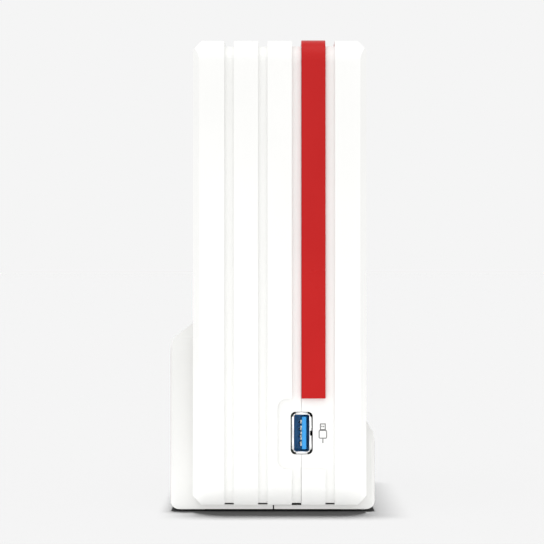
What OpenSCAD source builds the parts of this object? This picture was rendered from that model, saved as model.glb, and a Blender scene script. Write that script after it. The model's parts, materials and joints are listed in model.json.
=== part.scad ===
// Single-drive network attached storage: an upright ribbed case on a low split stand.
// Millimetres. +Z is up, -Y is the ribbed front, and the origin is on the floor under the
// middle of the stand. The case splits on one upright plane into a left and a right cover.

/* [Case] */
// Width of the case, without the stand
body_w = 59; // [57:0.5:62]
// Depth of the case from front to back
body_d = 196; // [194:1:204]
// Height of the case, without the stand
body_h = 158.6; // [157:0.2:164]
// Sideways offset of the case from the middle of the stand
body_x = 2.4; // [2:0.1:2.8]
// Radius of the bend from the front and back onto the top and bottom
bend_r = 7.2; // [6:0.2:9]
// Thickness of the left and right walls
side_wall = 2.2; // [1.8:0.1:2.6]
// Thickness of the ribbed walls: front, back, top and bottom
rib_wall = 4.0; // [3.8:0.1:4.4]

/* [Ribs] */
// Distance from one groove to the next
groove_pitch = 11.47; // [11:0.05:11.9]
// Width of a groove
groove_w = 3.2; // [2.6:0.1:3.6]
// Depth of the grooves on the front and back
groove_front = 1.6; // [1:0.1:1.8]
// Depth of the grooves on the top
groove_top = 1.9; // [1.2:0.1:2]
// Depth of the grooves on the bottom
groove_bottom = 0.7; // [0.4:0.1:1.2]

/* [Stand] */
// Width over both halves of the stand
stand_w = 70; // [69:0.5:74]
// Depth of the stand
stand_d = 176; // [160:1:180]
// Height of the left side of the stand
left_h = 64.7; // [50:0.5:75]
// Height of the right side of the stand
right_h = 31.4; // [24:0.5:40]
// Gap between the two halves
stand_gap = 0.45; // [0.3:0.05:0.6]

/* [Drive] */
// Thickness of the 3.5 inch hard drive
drive_t = 26.1; // [26.1]
// Width of the hard drive
drive_w = 101.6; // [101.6]
// Length of the hard drive
drive_l = 147; // [147]
// Number of platters
platter_count = 3; // [2:1:3]

/* [Fan] */
// Side of the square fan frame
fan_size = 50; // [50]
// Thickness of the fan
fan_t = 15; // [15]
// Number of fan blades
blade_count = 7; // [5:1:9]

/* [Hidden] */
$fn = 48;
big = 400;    // larger than the whole object, for cutting planes
eps = 0.05;   // overlap that keeps joined shapes in one piece

// Case planes
left_x = body_x - body_w / 2;
right_x = body_x + body_w / 2;
front_y = -body_d / 2;
back_y = body_d / 2;
foot_h = 0.7;
low_z = 2.3;
top_z = low_z + body_h;
in_left = left_x + side_wall;
in_right = right_x - side_wall;
in_back = back_y - rib_wall;

// Corner bevels of the case: along its length, and up its four edges
edge_x = 3.0;
edge_z = 3.6;
upright_bevel = 2.1;

// The grooves, the rib between the third and fourth that carries the stripe, and the split
groove_x = [for (k = [-1.5, -0.5, 0.5, 1.5]) body_x + k * groove_pitch];
stripe_x0 = groove_x[2] + groove_w / 2;
stripe_x1 = groove_x[3] - groove_w / 2;
split_x = stripe_x0;
split_gap = 0.1;
lip_w = 1.5;
lip_inset = 2.9;
lip_play = 0.2;

// Recessed pad round the front port, at the depth of the grooves
pad_x0 = stripe_x0 - 8.1;
pad_x1 = groove_x[3] + groove_w / 2;
pad_z0 = 14.8;
pad_z1 = 38.9;
pad_r = 3.2;
usb_x = 9.9;
usb_z = 27.1;
stripe_end_z = 149.5;

// Rear panel
panel_w = 50;
panel_z0 = 11;
panel_z1 = 148;
panel_y = back_y - 2;      // outer face
panel_t = 1.8;
panel_play = 0.2;
panel_in = panel_y - panel_t;
fan_z = 119;
fan_y1 = in_back - 1.4;    // the fan sits against the panel's flange
fan_y0 = fan_y1 - fan_t;
fan_hole = 20;             // from the fan's axis to its screws
power_at = [11.5, 82];
reset_at = [10.4, 66];
lan_z = 46;
dc_at = [13.5, 26];
lock_at = [-14, 24];

// Main board, its tray and the posts that carry them
board_x0 = 5.4;
board_x1 = 7.0;
board_z0 = 18;
board_z1 = 92;
board_y0 = -91;
board_y1 = 91;
tray_x0 = 3.5;
tray_x1 = 4.3;
tray_y0 = -90;
tray_y1 = 57.5;
post_y = [-52, 46];
post_z = [11.6, 129.6];
board_screw_at = [[-74, 22], [-84, 87], [50, 23], [50, 87]];
socket_yz = [-20, 57];     // middle of the processor

// Hard drive, standing on its long edge with its board to the right
drive_x0 = -23.3;
drive_x1 = drive_x0 + drive_t;
drive_y0 = -88;
drive_y1 = drive_y0 + drive_l;
drive_z0 = 20;
drive_z1 = drive_z0 + drive_w;
drive_hole_x = drive_x1 - 6.35;
drive_hole_y = [drive_y1 - 130.1, drive_y1 - 28.5];
spindle = [drive_y0 + 50.8, (drive_z0 + drive_z1) / 2];
pivot = [spindle[0] + 55, spindle[1] - 16];
platter_r = 47.5;
platter_t = 1.27;
platter_pitch = 3.3;
platter_x = -18;
chamber_r = 48.6;
arm_l = 50;
park_angle = 53.8;         // keeps the heads just outside the platters

// ---- Helpers -------------------------------------------------------------------------

// Box from one corner to the opposite one.
module box(lo, hi) translate(lo) cube(hi - lo);

// Cylinders along each axis.
module rod_x(r, x0, x1, y, z) translate([x0, y, z]) rotate([0, 90, 0]) cylinder(r = r, h = x1 - x0);
module rod_y(r, y0, y1, x, z) translate([x, y0, z]) rotate([-90, 0, 0]) cylinder(r = r, h = y1 - y0);
module rod_z(r, z0, z1, x, y) translate([x, y, z0]) cylinder(r = r, h = z1 - z0);

// Cross recess in a screw head that faces +X.
module cross_x(x0, x1, y, z) for (a = [45, 135]) translate([0, y, z]) rotate([a, 0, 0])
    box([x0, -1.6, -0.35], [x1, 1.6, 0.35]);

// Prisms: the outline is drawn in YZ, XZ or XY.
module along_x(x0, x1) translate([x0, 0, 0]) rotate([90, 0, 90]) linear_extrude(x1 - x0) children();
module along_y(y0, y1) translate([0, y1, 0]) rotate([90, 0, 0]) linear_extrude(y1 - y0) children();
module along_z(z0, z1) translate([0, 0, z0]) linear_extrude(z1 - z0) children();

// Rectangle with true arcs at its corners.
module round_rect(lo, hi, r) {
    translate([lo[0] + r, lo[1]]) square([hi[0] - lo[0] - 2 * r, hi[1] - lo[1]]);
    translate([lo[0], lo[1] + r]) square([hi[0] - lo[0], hi[1] - lo[1] - 2 * r]);
    for (x = [lo[0] + r, hi[0] - r], y = [lo[1] + r, hi[1] - r]) translate([x, y]) circle(r = r);
}

// Rectangle with its four corners cut off.
module bevel_rect(lo, hi, bx, by) polygon([
    [lo[0] + bx, lo[1]], [hi[0] - bx, lo[1]], [hi[0], lo[1] + by], [hi[0], hi[1] - by],
    [hi[0] - bx, hi[1]], [lo[0] + bx, hi[1]], [lo[0], hi[1] - by], [lo[0], lo[1] + by]
]);

// Slot with round ends, lying along Z in a wall that faces X.
module slot_x(x0, x1, y, z, w, l) {
    box([x0, y - w / 2, z - l / 2], [x1, y + w / 2, z + l / 2]);
    for (s = [-1, 1]) rod_x(w / 2, x0, x1, y, z + s * l / 2);
}

// ---- Case ----------------------------------------------------------------------------

// Outer form of the case, taken in by side on the flanks and by ring all round the rest.
module case_form(side = 0, ring = 0, bevel = upright_bevel) intersection() {
    along_y(front_y - 1, back_y + 1)
        bevel_rect([left_x + side, low_z + ring], [right_x - side, top_z - ring], edge_x, edge_z);
    along_x(left_x - 1, right_x + 1)
        round_rect([front_y + ring, low_z + ring], [back_y - ring, top_z - ring], bend_r - ring);
    along_z(low_z - 1, top_z + 1)
        bevel_rect([left_x + side, front_y + ring], [right_x - side, back_y - ring], bevel, bevel);
}

// Outline at the bottom of the grooves, seen from the side.
module groove_floor() round_rect(
    [front_y + groove_front, low_z + groove_bottom],
    [back_y - groove_front, top_z - groove_top], bend_r - groove_front);

// Everything outside the groove floor, between two planes.
module above_floor(x0, x1) along_x(x0, x1) difference() {
    translate([-big / 2, -big / 2]) square(big);
    groove_floor();
}

// Side view of the zone that the stripe covers: up the front, over the top, down the back.
module stripe_zone() {
    translate([front_y - 2, pad_z1]) square([body_d / 2 + 2, body_h]);
    translate([-eps, stripe_end_z]) square([body_d / 2 + 2, body_h]);
}

module case_shell() difference() {
    case_form();
    case_form(side_wall, rib_wall, 0.5);
    for (x = groove_x) above_floor(x - groove_w / 2, x + groove_w / 2);
    intersection() {
        above_floor(stripe_x0 - eps, stripe_x1 + eps);
        along_x(stripe_x0 - 1, stripe_x1 + 1) stripe_zone();
    }
    along_y(front_y - 1, front_y + groove_front) {
        round_rect([pad_x0, pad_z0], [pad_x1 - 4, pad_z1], pad_r);
        translate([pad_x1 - 8, pad_z0]) square([8, pad_z1 - pad_z0]);
    }
    along_y(front_y - 1, front_y + rib_wall + 1)
        round_rect([usb_x - 3.75, usb_z - 7.25], [usb_x + 3.75, usb_z + 7.25], 1.6);
    along_y(panel_y - 4, back_y + 1)
        round_rect([body_x - panel_w / 2, panel_z0], [body_x + panel_w / 2, panel_z1], 2);
}

// Vent slots in a flank: three staggered rows of tall slots.
module vents(x0, x1, z0) for (row = [0:2], k = [0:13])
    slot_x(x0, x1, -62 + k * 9 + (row % 2) * 4.5, z0 + row * 19, 2.6, 11);

module left_cover() color("white") {
    difference() {
        intersection() {
            case_shell();
            box([-big, -big, -big], [split_x, big, big]);
        }
        vents(left_x - 1, in_left + 1, 86);
        for (y = [-60, 60]) rod_z(1.2, low_z - 1, 12, -20, y);
    }
    lip();
    for (y = post_y, z = post_z) left_post(y, z);
    for (y = [-60, 60]) difference() {
        rod_z(3, low_z + rib_wall - eps, 13, -20, y);
        rod_z(1.2, low_z, 11.5, -20, y);
    }
}

// Lip on the left cover that locates the right one.
module lip() difference() {
    intersection() {
        case_form(side_wall, lip_inset, 0.5);
        box([split_x - 3, -big, -big], [split_x + lip_w, big, big]);
    }
    case_form(side_wall - 1, rib_wall, 0.5);
    along_y(front_y - 1, front_y + rib_wall + 1)
        round_rect([usb_x - 3.75, usb_z - 7.25], [usb_x + 3.75, usb_z + 7.25], 1.6);
    along_y(panel_y - 6, back_y + 1)
        round_rect([body_x - panel_w / 2, panel_z0], [body_x + panel_w / 2, panel_z1], 2);
}

// Post on the left wall, with a pilot hole for the screw that clamps tray and bracket.
module left_post(y, z) difference() {
    rod_x(3.6, in_left - eps, tray_x0 - 1, y, z);
    rod_x(1.25, tray_x0 - 13, tray_x0, y, z);
}

module right_cover() color("white") difference() {
    union() {
        difference() {
            intersection() {
                case_shell();
                box([split_x + split_gap, -big, -big], [big, big, big]);
            }
            difference() {
                box([split_x - 1, -big, -big], [split_x + lip_w + lip_play, big, big]);
                along_x(-big, big) difference() {
                    translate([-big / 2, -big / 2]) square(big);
                    round_rect([front_y + lip_inset - lip_play, low_z + lip_inset - lip_play],
                               [back_y - lip_inset + lip_play, top_z - lip_inset + lip_play],
                               bend_r - lip_inset + lip_play);
                }
            }
        }
        for (y = [-60, 60]) rod_z(3, low_z + rib_wall - eps, 13, 26, y);
    }
    for (y = [-60, 60]) rod_z(1.2, low_z - 1, 11.5, 26, y);
    vents(in_right - 1, right_x + 1, 66);
    for (z = guide_z) rod_x(guide_r + 0.05, in_right - 1, right_x + 1, guide_y, z);
}

// Red inlay that fills the groove-deep channel on the fourth rib.
module accent_stripe() color("firebrick") intersection() {
    along_x(stripe_x0 + split_gap, stripe_x1) difference() {
        round_rect([front_y, low_z], [back_y, top_z + 0.15], bend_r);
        groove_floor();
    }
    along_x(stripe_x0, stripe_x1) stripe_zone();
}

// Clear guides that carry the light of the board's LEDs to the right flank.
guide_r = 1.25;
guide_y = -82;
guide_z = [54, 62, 70, 78];
led_h = 0.8;
module light_guide() color("whitesmoke") {
    for (z = guide_z) rod_x(guide_r, board_x1 + led_h + 0.6, right_x, guide_y, z);
    box([in_right - 3.6, guide_y - 2, guide_z[0] - 3], [in_right, guide_y + 2, guide_z[3] + 3]);
}

// ---- Stand ---------------------------------------------------------------------------

stand_z = foot_h;
roof_run = 7.8;            // how far the roof of a side reaches back from its front edge
foot_x0 = 22.7;
foot_x1 = 32.3;
foot_y = 74;
foot_l = 18;

// Front views of the stand's halves: a side with a leaning shoulder, hugging the case.
module left_front() difference() {
    polygon([
        [body_x, stand_z], [-stand_w / 2, stand_z], [-stand_w / 2, left_h - 10],
        [-stand_w / 2 + 0.2, left_h - 7.6], [-stand_w / 2 + 0.8, left_h - 5.4],
        [left_x, left_h], [body_x, left_h]
    ]);
    bevel_rect([left_x, low_z], [right_x, top_z], edge_x, edge_z);
}

module right_front() difference() {
    polygon([
        [0, stand_z], [stand_w / 2, stand_z], [stand_w / 2, right_h - 7],
        [stand_w / 2 - 0.6, right_h - 4.2], [right_x, right_h], [0, right_h]
    ]);
    bevel_rect([left_x, low_z], [right_x, top_z], edge_x, edge_z);
}

// Rounds the long lower edges of the stand.
module low_edges() along_y(-stand_d, stand_d)
    round_rect([-stand_w / 2, stand_z], [stand_w / 2, top_z], 3);

// Side view of a stand half of height h: upright ends with a small lean and a sloping roof.
module stand_side(h, rise, run) polygon([for (s = [1, -1]) each (s > 0
    ? [[-stand_d / 2, stand_z], [-stand_d / 2, h - rise - 4.6], [-stand_d / 2 + 0.8, h - rise],
       [-stand_d / 2 + 0.8 + run, h]]
    : [[stand_d / 2 - 0.8 - run, h], [stand_d / 2 - 0.8, h - rise],
       [stand_d / 2, h - rise - 4.6], [stand_d / 2, stand_z]])]);

// Hole for a flat-head screw that comes up from below.
module sink_hole(x, y) translate([x, y, stand_z - eps]) {
    cylinder(r = 1.5, h = 3);
    cylinder(r1 = 3.0, r2 = 1.5, h = 1.2);
}

module foot_recess(side) for (y = [-foot_y, foot_y])
    box([min(side * foot_x0, side * foot_x1), y - foot_l / 2, stand_z - 1],
        [max(side * foot_x0, side * foot_x1), y + foot_l / 2, stand_z + 0.6]);

module left_stand() color("white") difference() {
    intersection() {
        along_y(-stand_d / 2, stand_d / 2) left_front();
        low_edges();
        along_x(-stand_w, stand_w) stand_side(left_h, 5.4, roof_run);
        along_z(-1, left_h + 1) union() {
            round_rect([-stand_w / 2, -stand_d / 2], [0, stand_d / 2], 1.2);
            translate([-10, -stand_d / 2]) square([10.3 - stand_gap / 2, stand_d]);
        }
    }
    box([-stand_w / 2 + 2, -stand_d / 2 + 2.5, low_z + 4], [left_x + 1, stand_d / 2 - 2.5, left_h - 8]);
    for (y = [-60, 60]) sink_hole(-20, y);
    foot_recess(-1);
}

module right_stand() color("white") difference() {
    intersection() {
        along_y(-stand_d / 2, stand_d / 2) right_front();
        low_edges();
        along_x(-stand_w, stand_w) stand_side(right_h, 4.2, 2.4);
        along_z(-1, right_h + 1) union() {
            round_rect([10, -stand_d / 2], [stand_w / 2, stand_d / 2], 1.2);
            translate([0.3 + stand_gap / 2, -stand_d / 2]) square([20, stand_d]);
        }
    }
    box([-1, -big, low_z - 0.25], [split_x + split_gap, big, low_z + 1]);
    for (y = [-60, 60]) sink_hole(26, y);
    foot_recess(1);
}

// Soft pads under the stand, narrower at the floor.
module feet(side) color("gainsboro") for (y = [-foot_y, foot_y])
    along_y(y - foot_l / 2, y + foot_l / 2) polygon([
        [side * foot_x0, stand_z + 0.6], [side * foot_x1, stand_z + 0.6],
        [side * foot_x1, stand_z], [side * (foot_x1 - 0.7), 0],
        [side * (foot_x0 + 0.7), 0], [side * foot_x0, stand_z]
    ]);
module left_feet() feet(-1);
module right_feet() feet(1);

// Flat-head screws from the stand into the covers.
module stand_screws(x) color("silver") for (y = [-60, 60]) difference() {
    union() {
        rod_z(1.15, stand_z + 1, 10.5, x, y);
        translate([x, y, stand_z + 0.05]) cylinder(r1 = 2.8, r2 = 1.3, h = 1.2);
    }
    for (a = [0, 90]) translate([x, y, stand_z]) rotate([0, 0, a]) box([-1.5, -0.3, 0], [1.5, 0.3, 0.7]);
}
module left_stand_screws() stand_screws(-20);
module right_stand_screws() stand_screws(26);

// ---- Rear panel ----------------------------------------------------------------------

panel_x0 = body_x - panel_w / 2 + panel_play;
panel_x1 = body_x + panel_w / 2 - panel_play;

// Ring slots of the fan grille, left open between four spokes.
module grille_cut() difference() {
    for (k = [0:3]) difference() {
        rod_y(10.5 + k * 4.2, panel_y - 4, panel_y + 1, body_x, fan_z);
        rod_y(7.7 + k * 4.2, panel_y - 4.5, panel_y + 1.5, body_x, fan_z);
    }
    for (a = [45, 135]) translate([body_x, panel_y, fan_z]) rotate([0, a, 0])
        box([-30, -5, -1], [30, 2, 1]);
}

module fan_holes() for (sx = [-1, 1], sz = [-1, 1])
    translate([body_x + sx * fan_hole, 0, fan_z + sz * fan_hole])
    children();

module rear_panel() color("gainsboro") difference() {
    union() {
        along_y(panel_y - panel_t, panel_y)
            round_rect([panel_x0, panel_z0 + panel_play], [panel_x1, panel_z1 - panel_play], 1.8);
        difference() {
            box([panel_x0 - 1.5, in_back - 1.4, panel_z0 - 1.3], [panel_x1 + 1.5, in_back, panel_z1 + 1.3]);
            box([panel_x0 + 1.5, in_back - 2, panel_z0 + 1.7],
                [panel_x1 - 1.5, in_back + 1, panel_z1 - 1.7]);
        }
        for (x = [panel_x0, panel_x1 - 1.5])
            box([x, in_back - 1, panel_z0 + 2], [x + 1.5, in_back + 0.5, panel_z1 - 2]);
        fan_holes() rod_y(3.6, fan_y1, panel_in + eps, 0, 0);
    }
    grille_cut();
    fan_holes() rod_y(1.7, fan_y1 - 1, panel_y + 1, 0, 0);
    rod_y(5.2, panel_y - 4, panel_y + 1, power_at[0], power_at[1]);
    rod_y(1.1, panel_y - 4, panel_y + 1, reset_at[0], reset_at[1]);
    rod_y(4.4, panel_y - 4, panel_y + 1, dc_at[0], dc_at[1]);
    along_y(panel_y - 4, panel_y + 1) {
        round_rect([board_x1 - 0.3, lan_z - 8.3], [board_x1 + 13.7, lan_z + 8.3], 0.5);
        round_rect([lock_at[0] - 1.5, lock_at[1] - 3.5], [lock_at[0] + 1.5, lock_at[1] + 3.5], 0.7);
    }
}

// Steel plate behind the slot for a security lock.
module lock_plate() color("silver") difference() {
    box([lock_at[0] - 6, panel_in - 1.2, lock_at[1] - 8], [lock_at[0] + 6, panel_in, lock_at[1] + 8]);
    along_y(panel_in - 3, panel_in + 1)
        round_rect([lock_at[0] - 1.5, lock_at[1] - 3.5], [lock_at[0] + 1.5, lock_at[1] + 3.5], 0.7);
}

module power_button() color("white") {
    rod_y(4.9, panel_y - 2.4, panel_y + 0.8, power_at[0], power_at[1]);
    rod_y(6.2, panel_y - 3.6, panel_y - 2.1, power_at[0], power_at[1]);
    rod_y(1.7, panel_y - 10, panel_y - 3.5, power_at[0], power_at[1]);
}

// Push switches on the board's edge, each with a blind hole that guides its plunger.
module power_switch() color("dimgray") difference() {
    box([board_x1, panel_y - 13, power_at[1] - 3.1], [power_at[0] + 3.1, panel_y - 9.2, power_at[1] + 3.1]);
    rod_y(1.77, panel_y - 11.5, panel_y - 9, power_at[0], power_at[1]);
}

module reset_plunger() color("black")
    rod_y(1.2, panel_y - 5.8, panel_y - 2.6, reset_at[0], reset_at[1]);

module reset_switch() color("dimgray") difference() {
    box([board_x1, panel_y - 8.8, reset_at[1] - 3.1],
        [reset_at[0] + 3.1, panel_y - 5.1, reset_at[1] + 3.1]);
    rod_y(1.27, panel_y - 6.7, panel_y - 5, reset_at[0], reset_at[1]);
}

// ---- Fan -----------------------------------------------------------------------------

fan_bore_r = 23.8;
hub_r = 12;

module fan_frame() color("black") difference() {
    union() {
        difference() {
            along_y(fan_y0, fan_y1) round_rect([body_x - fan_size / 2, fan_z - fan_size / 2],
                [body_x + fan_size / 2, fan_z + fan_size / 2], 3);
            rod_y(fan_bore_r, fan_y0 - 1, fan_y1 + 1, body_x, fan_z);
        }
        rod_y(12.4, fan_y1 - 1.8, fan_y1, body_x, fan_z);
        for (a = [0, 90]) translate([body_x, fan_y1, fan_z]) rotate([0, a + 20, 0])
            box([-fan_bore_r - 0.6, -1.8, -1.2], [fan_bore_r + 0.6, 0, 1.2]);
        rod_y(2.9, fan_y0 + 3.2, fan_y1 - 1, body_x, fan_z);
    }
    rod_y(1.9, fan_y0 + 3, fan_y1 - 1.5, body_x, fan_z);
    fan_holes() rod_y(1.4, fan_y0 - 1, fan_y1 + 1, 0, 0);
}

// Cupped hub with tilted blades, open towards the motor.
module fan_rotor() color("black") {
    difference() {
        rod_y(hub_r, fan_y0 + 0.6, fan_y1 - 2.4, body_x, fan_z);
        rod_y(hub_r - 1.2, fan_y0 + 2, fan_y1 - 2, body_x, fan_z);
        rod_y(1, fan_y0 + 1.2, fan_y1, body_x, fan_z);
    }
    difference() {
        intersection() {
            rod_y(fan_bore_r - 0.6, fan_y0 + 1, fan_y1 - 2.6, body_x, fan_z);
            for (k = [0:blade_count - 1]) translate([body_x, (fan_y0 + fan_y1 - 2) / 2, fan_z])
                rotate([0, k * 360 / blade_count, 0]) rotate([0, 0, 38])
                    box([-8.6, -0.5, hub_r - 2], [8.6, 0.5, fan_bore_r]);
        }
        rod_y(hub_r - 0.4, fan_y0, fan_y1, body_x, fan_z);
    }
}

module fan_shaft() color("silver") rod_y(1, fan_y0 + 1.2, fan_y1 - 2.6, body_x, fan_z);

module fan_bearing() color("peru") difference() {
    rod_y(1.9, fan_y0 + 3.4, fan_y1 - 1.5, body_x, fan_z);
    rod_y(1.04, fan_y0 + 3, fan_y1 - 2.4, body_x, fan_z);
}

// Wound poles on their carrier board.
module fan_stator() color("chocolate") difference() {
    union() {
        rod_y(5, fan_y0 + 4.4, fan_y1 - 2.8, body_x, fan_z);
        for (a = [0:60:300]) translate([body_x, 0, fan_z]) rotate([0, a, 0])
            box([-1.8, fan_y0 + 4.8, 4], [1.8, fan_y1 - 3.6, 9.4]);
        rod_y(9.6, fan_y1 - 3, fan_y1 - 1.8, body_x, fan_z);
    }
    rod_y(2.9, fan_y0, fan_y1, body_x, fan_z);
}

module fan_screws() color("black") fan_holes() difference() {
    union() {
        rod_y(1.35, fan_y1 - 7, panel_y + 0.1, 0, 0);
        rod_y(2.9, panel_y, panel_y + 1.2, 0, 0);
    }
    for (a = [0, 90]) rotate([0, a, 0]) box([-1.6, panel_y + 0.5, -0.3], [1.6, panel_y + 2, 0.3]);
}

// Fan lead: a short hop from the frame down to its plug on the board's top edge.
lead_r = 1.1;
lead_x = board_x1 + 3.4;
lead_y = fan_y0 + 3;
module fan_lead() color("dimgray") {
    rod_z(lead_r, board_z1 - 1, fan_z - fan_size / 2, lead_x, lead_y);
    box([board_x1, lead_y - 3.4, board_z1 - 6.2], [lead_x + 2.6, lead_y + 3.4, board_z1 - 0.4]);
}

// ---- Main board ----------------------------------------------------------------------

module main_board() color("darkgreen") difference() {
    box([board_x0, board_y0, board_z0], [board_x1, board_y1, board_z1]);
    for (p = board_screw_at) rod_x(1.6, board_x0 - 1, board_x1 + 1, p[0], p[1]);
    for (s = [-1, 1]) rod_x(1.2, board_x0 - 1, board_x1 + 1, socket_yz[0] + s * 24, socket_yz[1] + s * 18);
}

module processor() color("dimgray") {
    box([board_x1, socket_yz[0] - 11, socket_yz[1] - 11],
        [board_x1 + 1, socket_yz[0] + 11, socket_yz[1] + 11]);
    box([board_x1 + 0.9, socket_yz[0] - 8, socket_yz[1] - 8],
        [board_x1 + 1.6, socket_yz[0] + 8, socket_yz[1] + 8]);
}

sink_x = board_x1 + 1.6;
module heatsink() color("silver") difference() {
    union() {
        box([sink_x, socket_yz[0] - 21, socket_yz[1] - 21],
            [sink_x + 2.6, socket_yz[0] + 21, socket_yz[1] + 21]);
        for (k = [0:8]) translate([0, 0, socket_yz[1] - 21 + k * 5.1])
            box([sink_x + 2.5, socket_yz[0] - 21, 0], [sink_x + 13, socket_yz[0] + 21, 1.2]);
        for (s = [-1, 1]) translate([0, socket_yz[0] + s * 21, socket_yz[1] + s * 18])
            box([sink_x, -6, -3], [sink_x + 2.6, 6, 3]);
    }
    for (s = [-1, 1]) rod_x(1.25, sink_x - 1, sink_x + 4, socket_yz[0] + s * 24, socket_yz[1] + s * 18);
}

// Push pins that hold the heatsink down.
module heatsink_pins() color("white") for (s = [-1, 1]) {
    rod_x(1.1, board_x0 - 0.8, sink_x + 4, socket_yz[0] + s * 24, socket_yz[1] + s * 18);
    rod_x(2.4, sink_x + 2.7, sink_x + 4.4, socket_yz[0] + s * 24, socket_yz[1] + s * 18);
}

module chip(y, z, w, h, t) box([board_x1, y - w / 2, z - h / 2], [board_x1 + t, y + w / 2, z + h / 2]);

module memory_chips() color("black") {
    for (z = [48, 64]) chip(-58, z, 9, 13, 1.1);
    chip(16, 74, 12, 16, 1.1);
}

module controller_chips() color("black") {
    chip(60, lan_z, 9, 9, 1);
    chip(58, 28, 6, 6, 1);
    chip(-79, 44, 7, 7, 1);
    chip(34, 38, 10, 10, 1.2);
    chip(20, 30, 5, 6, 1.5);
}

module power_inductors() color("slategray") for (y = [34, 46], z = [56, 66])
    box([board_x1, y - 3.6, z - 3.6], [board_x1 + 4, y + 3.6, z + 3.6]);

module capacitors() color("royalblue") {
    for (y = [66, 76]) rod_x(4, board_x1, board_x1 + 11, y, 66);
    for (y = [-2, 8], z = [24]) rod_x(3.2, board_x1, board_x1 + 7.5, y, z);
    for (z = [77, 86]) rod_x(3.2, board_x1, board_x1 + 7.5, 40, z);
}

module clock_battery() color("silver") {
    rod_x(10, board_x1 + 1.2, board_x1 + 4.4, -62, 30);
    box([board_x1, -67, 27.5], [board_x1 + 1.3, -57, 32.5]);
}

module buzzer() color("black") difference() {
    rod_x(6, board_x1, board_x1 + 8, -70, 78);
    rod_x(1, board_x1 + 6, board_x1 + 9, -70, 78);
}

module status_leds() color("palegreen") for (z = guide_z)
    box([board_x1, guide_y - 0.8, z - 0.6], [board_x1 + led_h, guide_y + 0.8, z + 0.6]);

// Network jack: metal can with its socket, latch notch and eight spring contacts.
lan_x1 = board_x1 + 13.4;
lan_y0 = panel_y - 22;
module network_jack() color("silver") difference() {
    box([board_x1, lan_y0, lan_z - 8], [lan_x1, panel_y - 0.6, lan_z + 8]);
    box([board_x1 + 2, lan_y0 + 7, lan_z - 5.95], [board_x1 + 10.2, panel_y, lan_z + 5.95]);
    box([board_x1 + 10, lan_y0 + 7, lan_z - 3.1], [board_x1 + 11.6, panel_y, lan_z + 3.1]);
}

module network_contacts() color("gold") for (k = [-3.5:3.5])
    translate([board_x1 + 2, panel_y - 2.6, lan_z + k * 1.02]) rotate([0, 0, 16])
        box([0, -12, -0.18], [0.35, 0, 0.18]);

module power_jack() color("black") difference() {
    union() {
        box([board_x1, panel_y - 14.6, dc_at[1] - 4.5], [board_x1 + 11, panel_in - 0.1, dc_at[1] + 4.5]);
        rod_y(4.2, panel_in - 1, panel_y - 0.5, dc_at[0], dc_at[1]);
    }
    rod_y(3.1, panel_y - 11, panel_y, dc_at[0], dc_at[1]);
    rod_y(1.05, panel_y - 11.6, panel_y, dc_at[0], dc_at[1]);
}

module power_jack_pin() color("silver") rod_y(1.05, panel_y - 11.6, panel_y - 1.8, dc_at[0], dc_at[1]);

// Front port: a folded steel shell with lips at its mouth, a blue insert and nine contacts.
usb_y0 = front_y + groove_front + 0.1;
usb_l = 17.2;
usb_in_x = 2.56;
usb_in_z = 6.25;
usb_t = 0.3;
module usb_shell() color("silver") {
    difference() {
        union() {
            box([usb_x - usb_in_x - usb_t, usb_y0, usb_z - usb_in_z - usb_t],
                [usb_x + usb_in_x + usb_t, usb_y0 + usb_l, usb_z + usb_in_z + usb_t]);
            box([usb_x - 3.55, usb_y0, usb_z - 5.2], [usb_x + 3.55, usb_y0 + usb_t, usb_z + 5.2]);
            box([usb_x - 1.5, usb_y0, usb_z - 7.1], [usb_x + 1.5, usb_y0 + usb_t, usb_z + 7.1]);
        }
        box([usb_x - usb_in_x, usb_y0 - 1, usb_z - usb_in_z],
            [usb_x + usb_in_x, usb_y0 + usb_l - usb_t, usb_z + usb_in_z]);
        box([usb_x + 2.9, usb_y0 - 1, usb_z - 0.8], [usb_x + 4, usb_y0 + 1, usb_z + 0.8]);
    }
}

module usb_insert() color("dodgerblue") {
    box([usb_x - usb_in_x, usb_y0 + 11, usb_z - usb_in_z],
        [usb_x + usb_in_x, usb_y0 + usb_l - usb_t, usb_z + usb_in_z]);
    box([usb_x + 0.1, usb_y0 + 1, usb_z - 5.55], [usb_x + 1.6, usb_y0 + 11.1, usb_z + 5.55]);
}

module usb_contacts() color("gold") {
    for (k = [-2:2])
        translate([usb_x - 0.15, 0, usb_z + k * 2]) box([0, usb_y0 + 1.4, -0.4], [0.25, usb_y0 + 3.2, 0.4]);
    for (k = [-1.5:1.5])
        translate([usb_x - 0.45, 0, usb_z + k * 2.3])
            box([0, usb_y0 + 4.2, -0.45], [0.55, usb_y0 + 9.5, 0.45]);
}

// Socket on the back of the board that the drive plugs into.
module sata_socket() color("black") difference() {
    union() {
        box([-4, drive_y1 + 0.4, 28], [board_x0, drive_y1 + 8, 72]);
        box([-2.7, drive_y1 - 3.1, 29.6], [0.9, drive_y1 + 1, 70.4]);
    }
    box([-1.8, drive_y1 - 4, 30.6], [-0.2, drive_y1 + 1.5, 46]);
    box([-1.8, drive_y1 - 4, 49], [-0.2, drive_y1 + 1.5, 69.4]);
}

module board_screws() color("silver") for (p = board_screw_at) difference() {
    union() {
        rod_x(1.3, tray_x1 - 0.6, board_x1 + 0.1, p[0], p[1]);
        rod_x(2.8, board_x1, board_x1 + 1.6, p[0], p[1]);
    }
    cross_x(board_x1 + 0.6, board_x1 + 2, p[0], p[1]);
}

// ---- Tray and bracket ----------------------------------------------------------------

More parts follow.
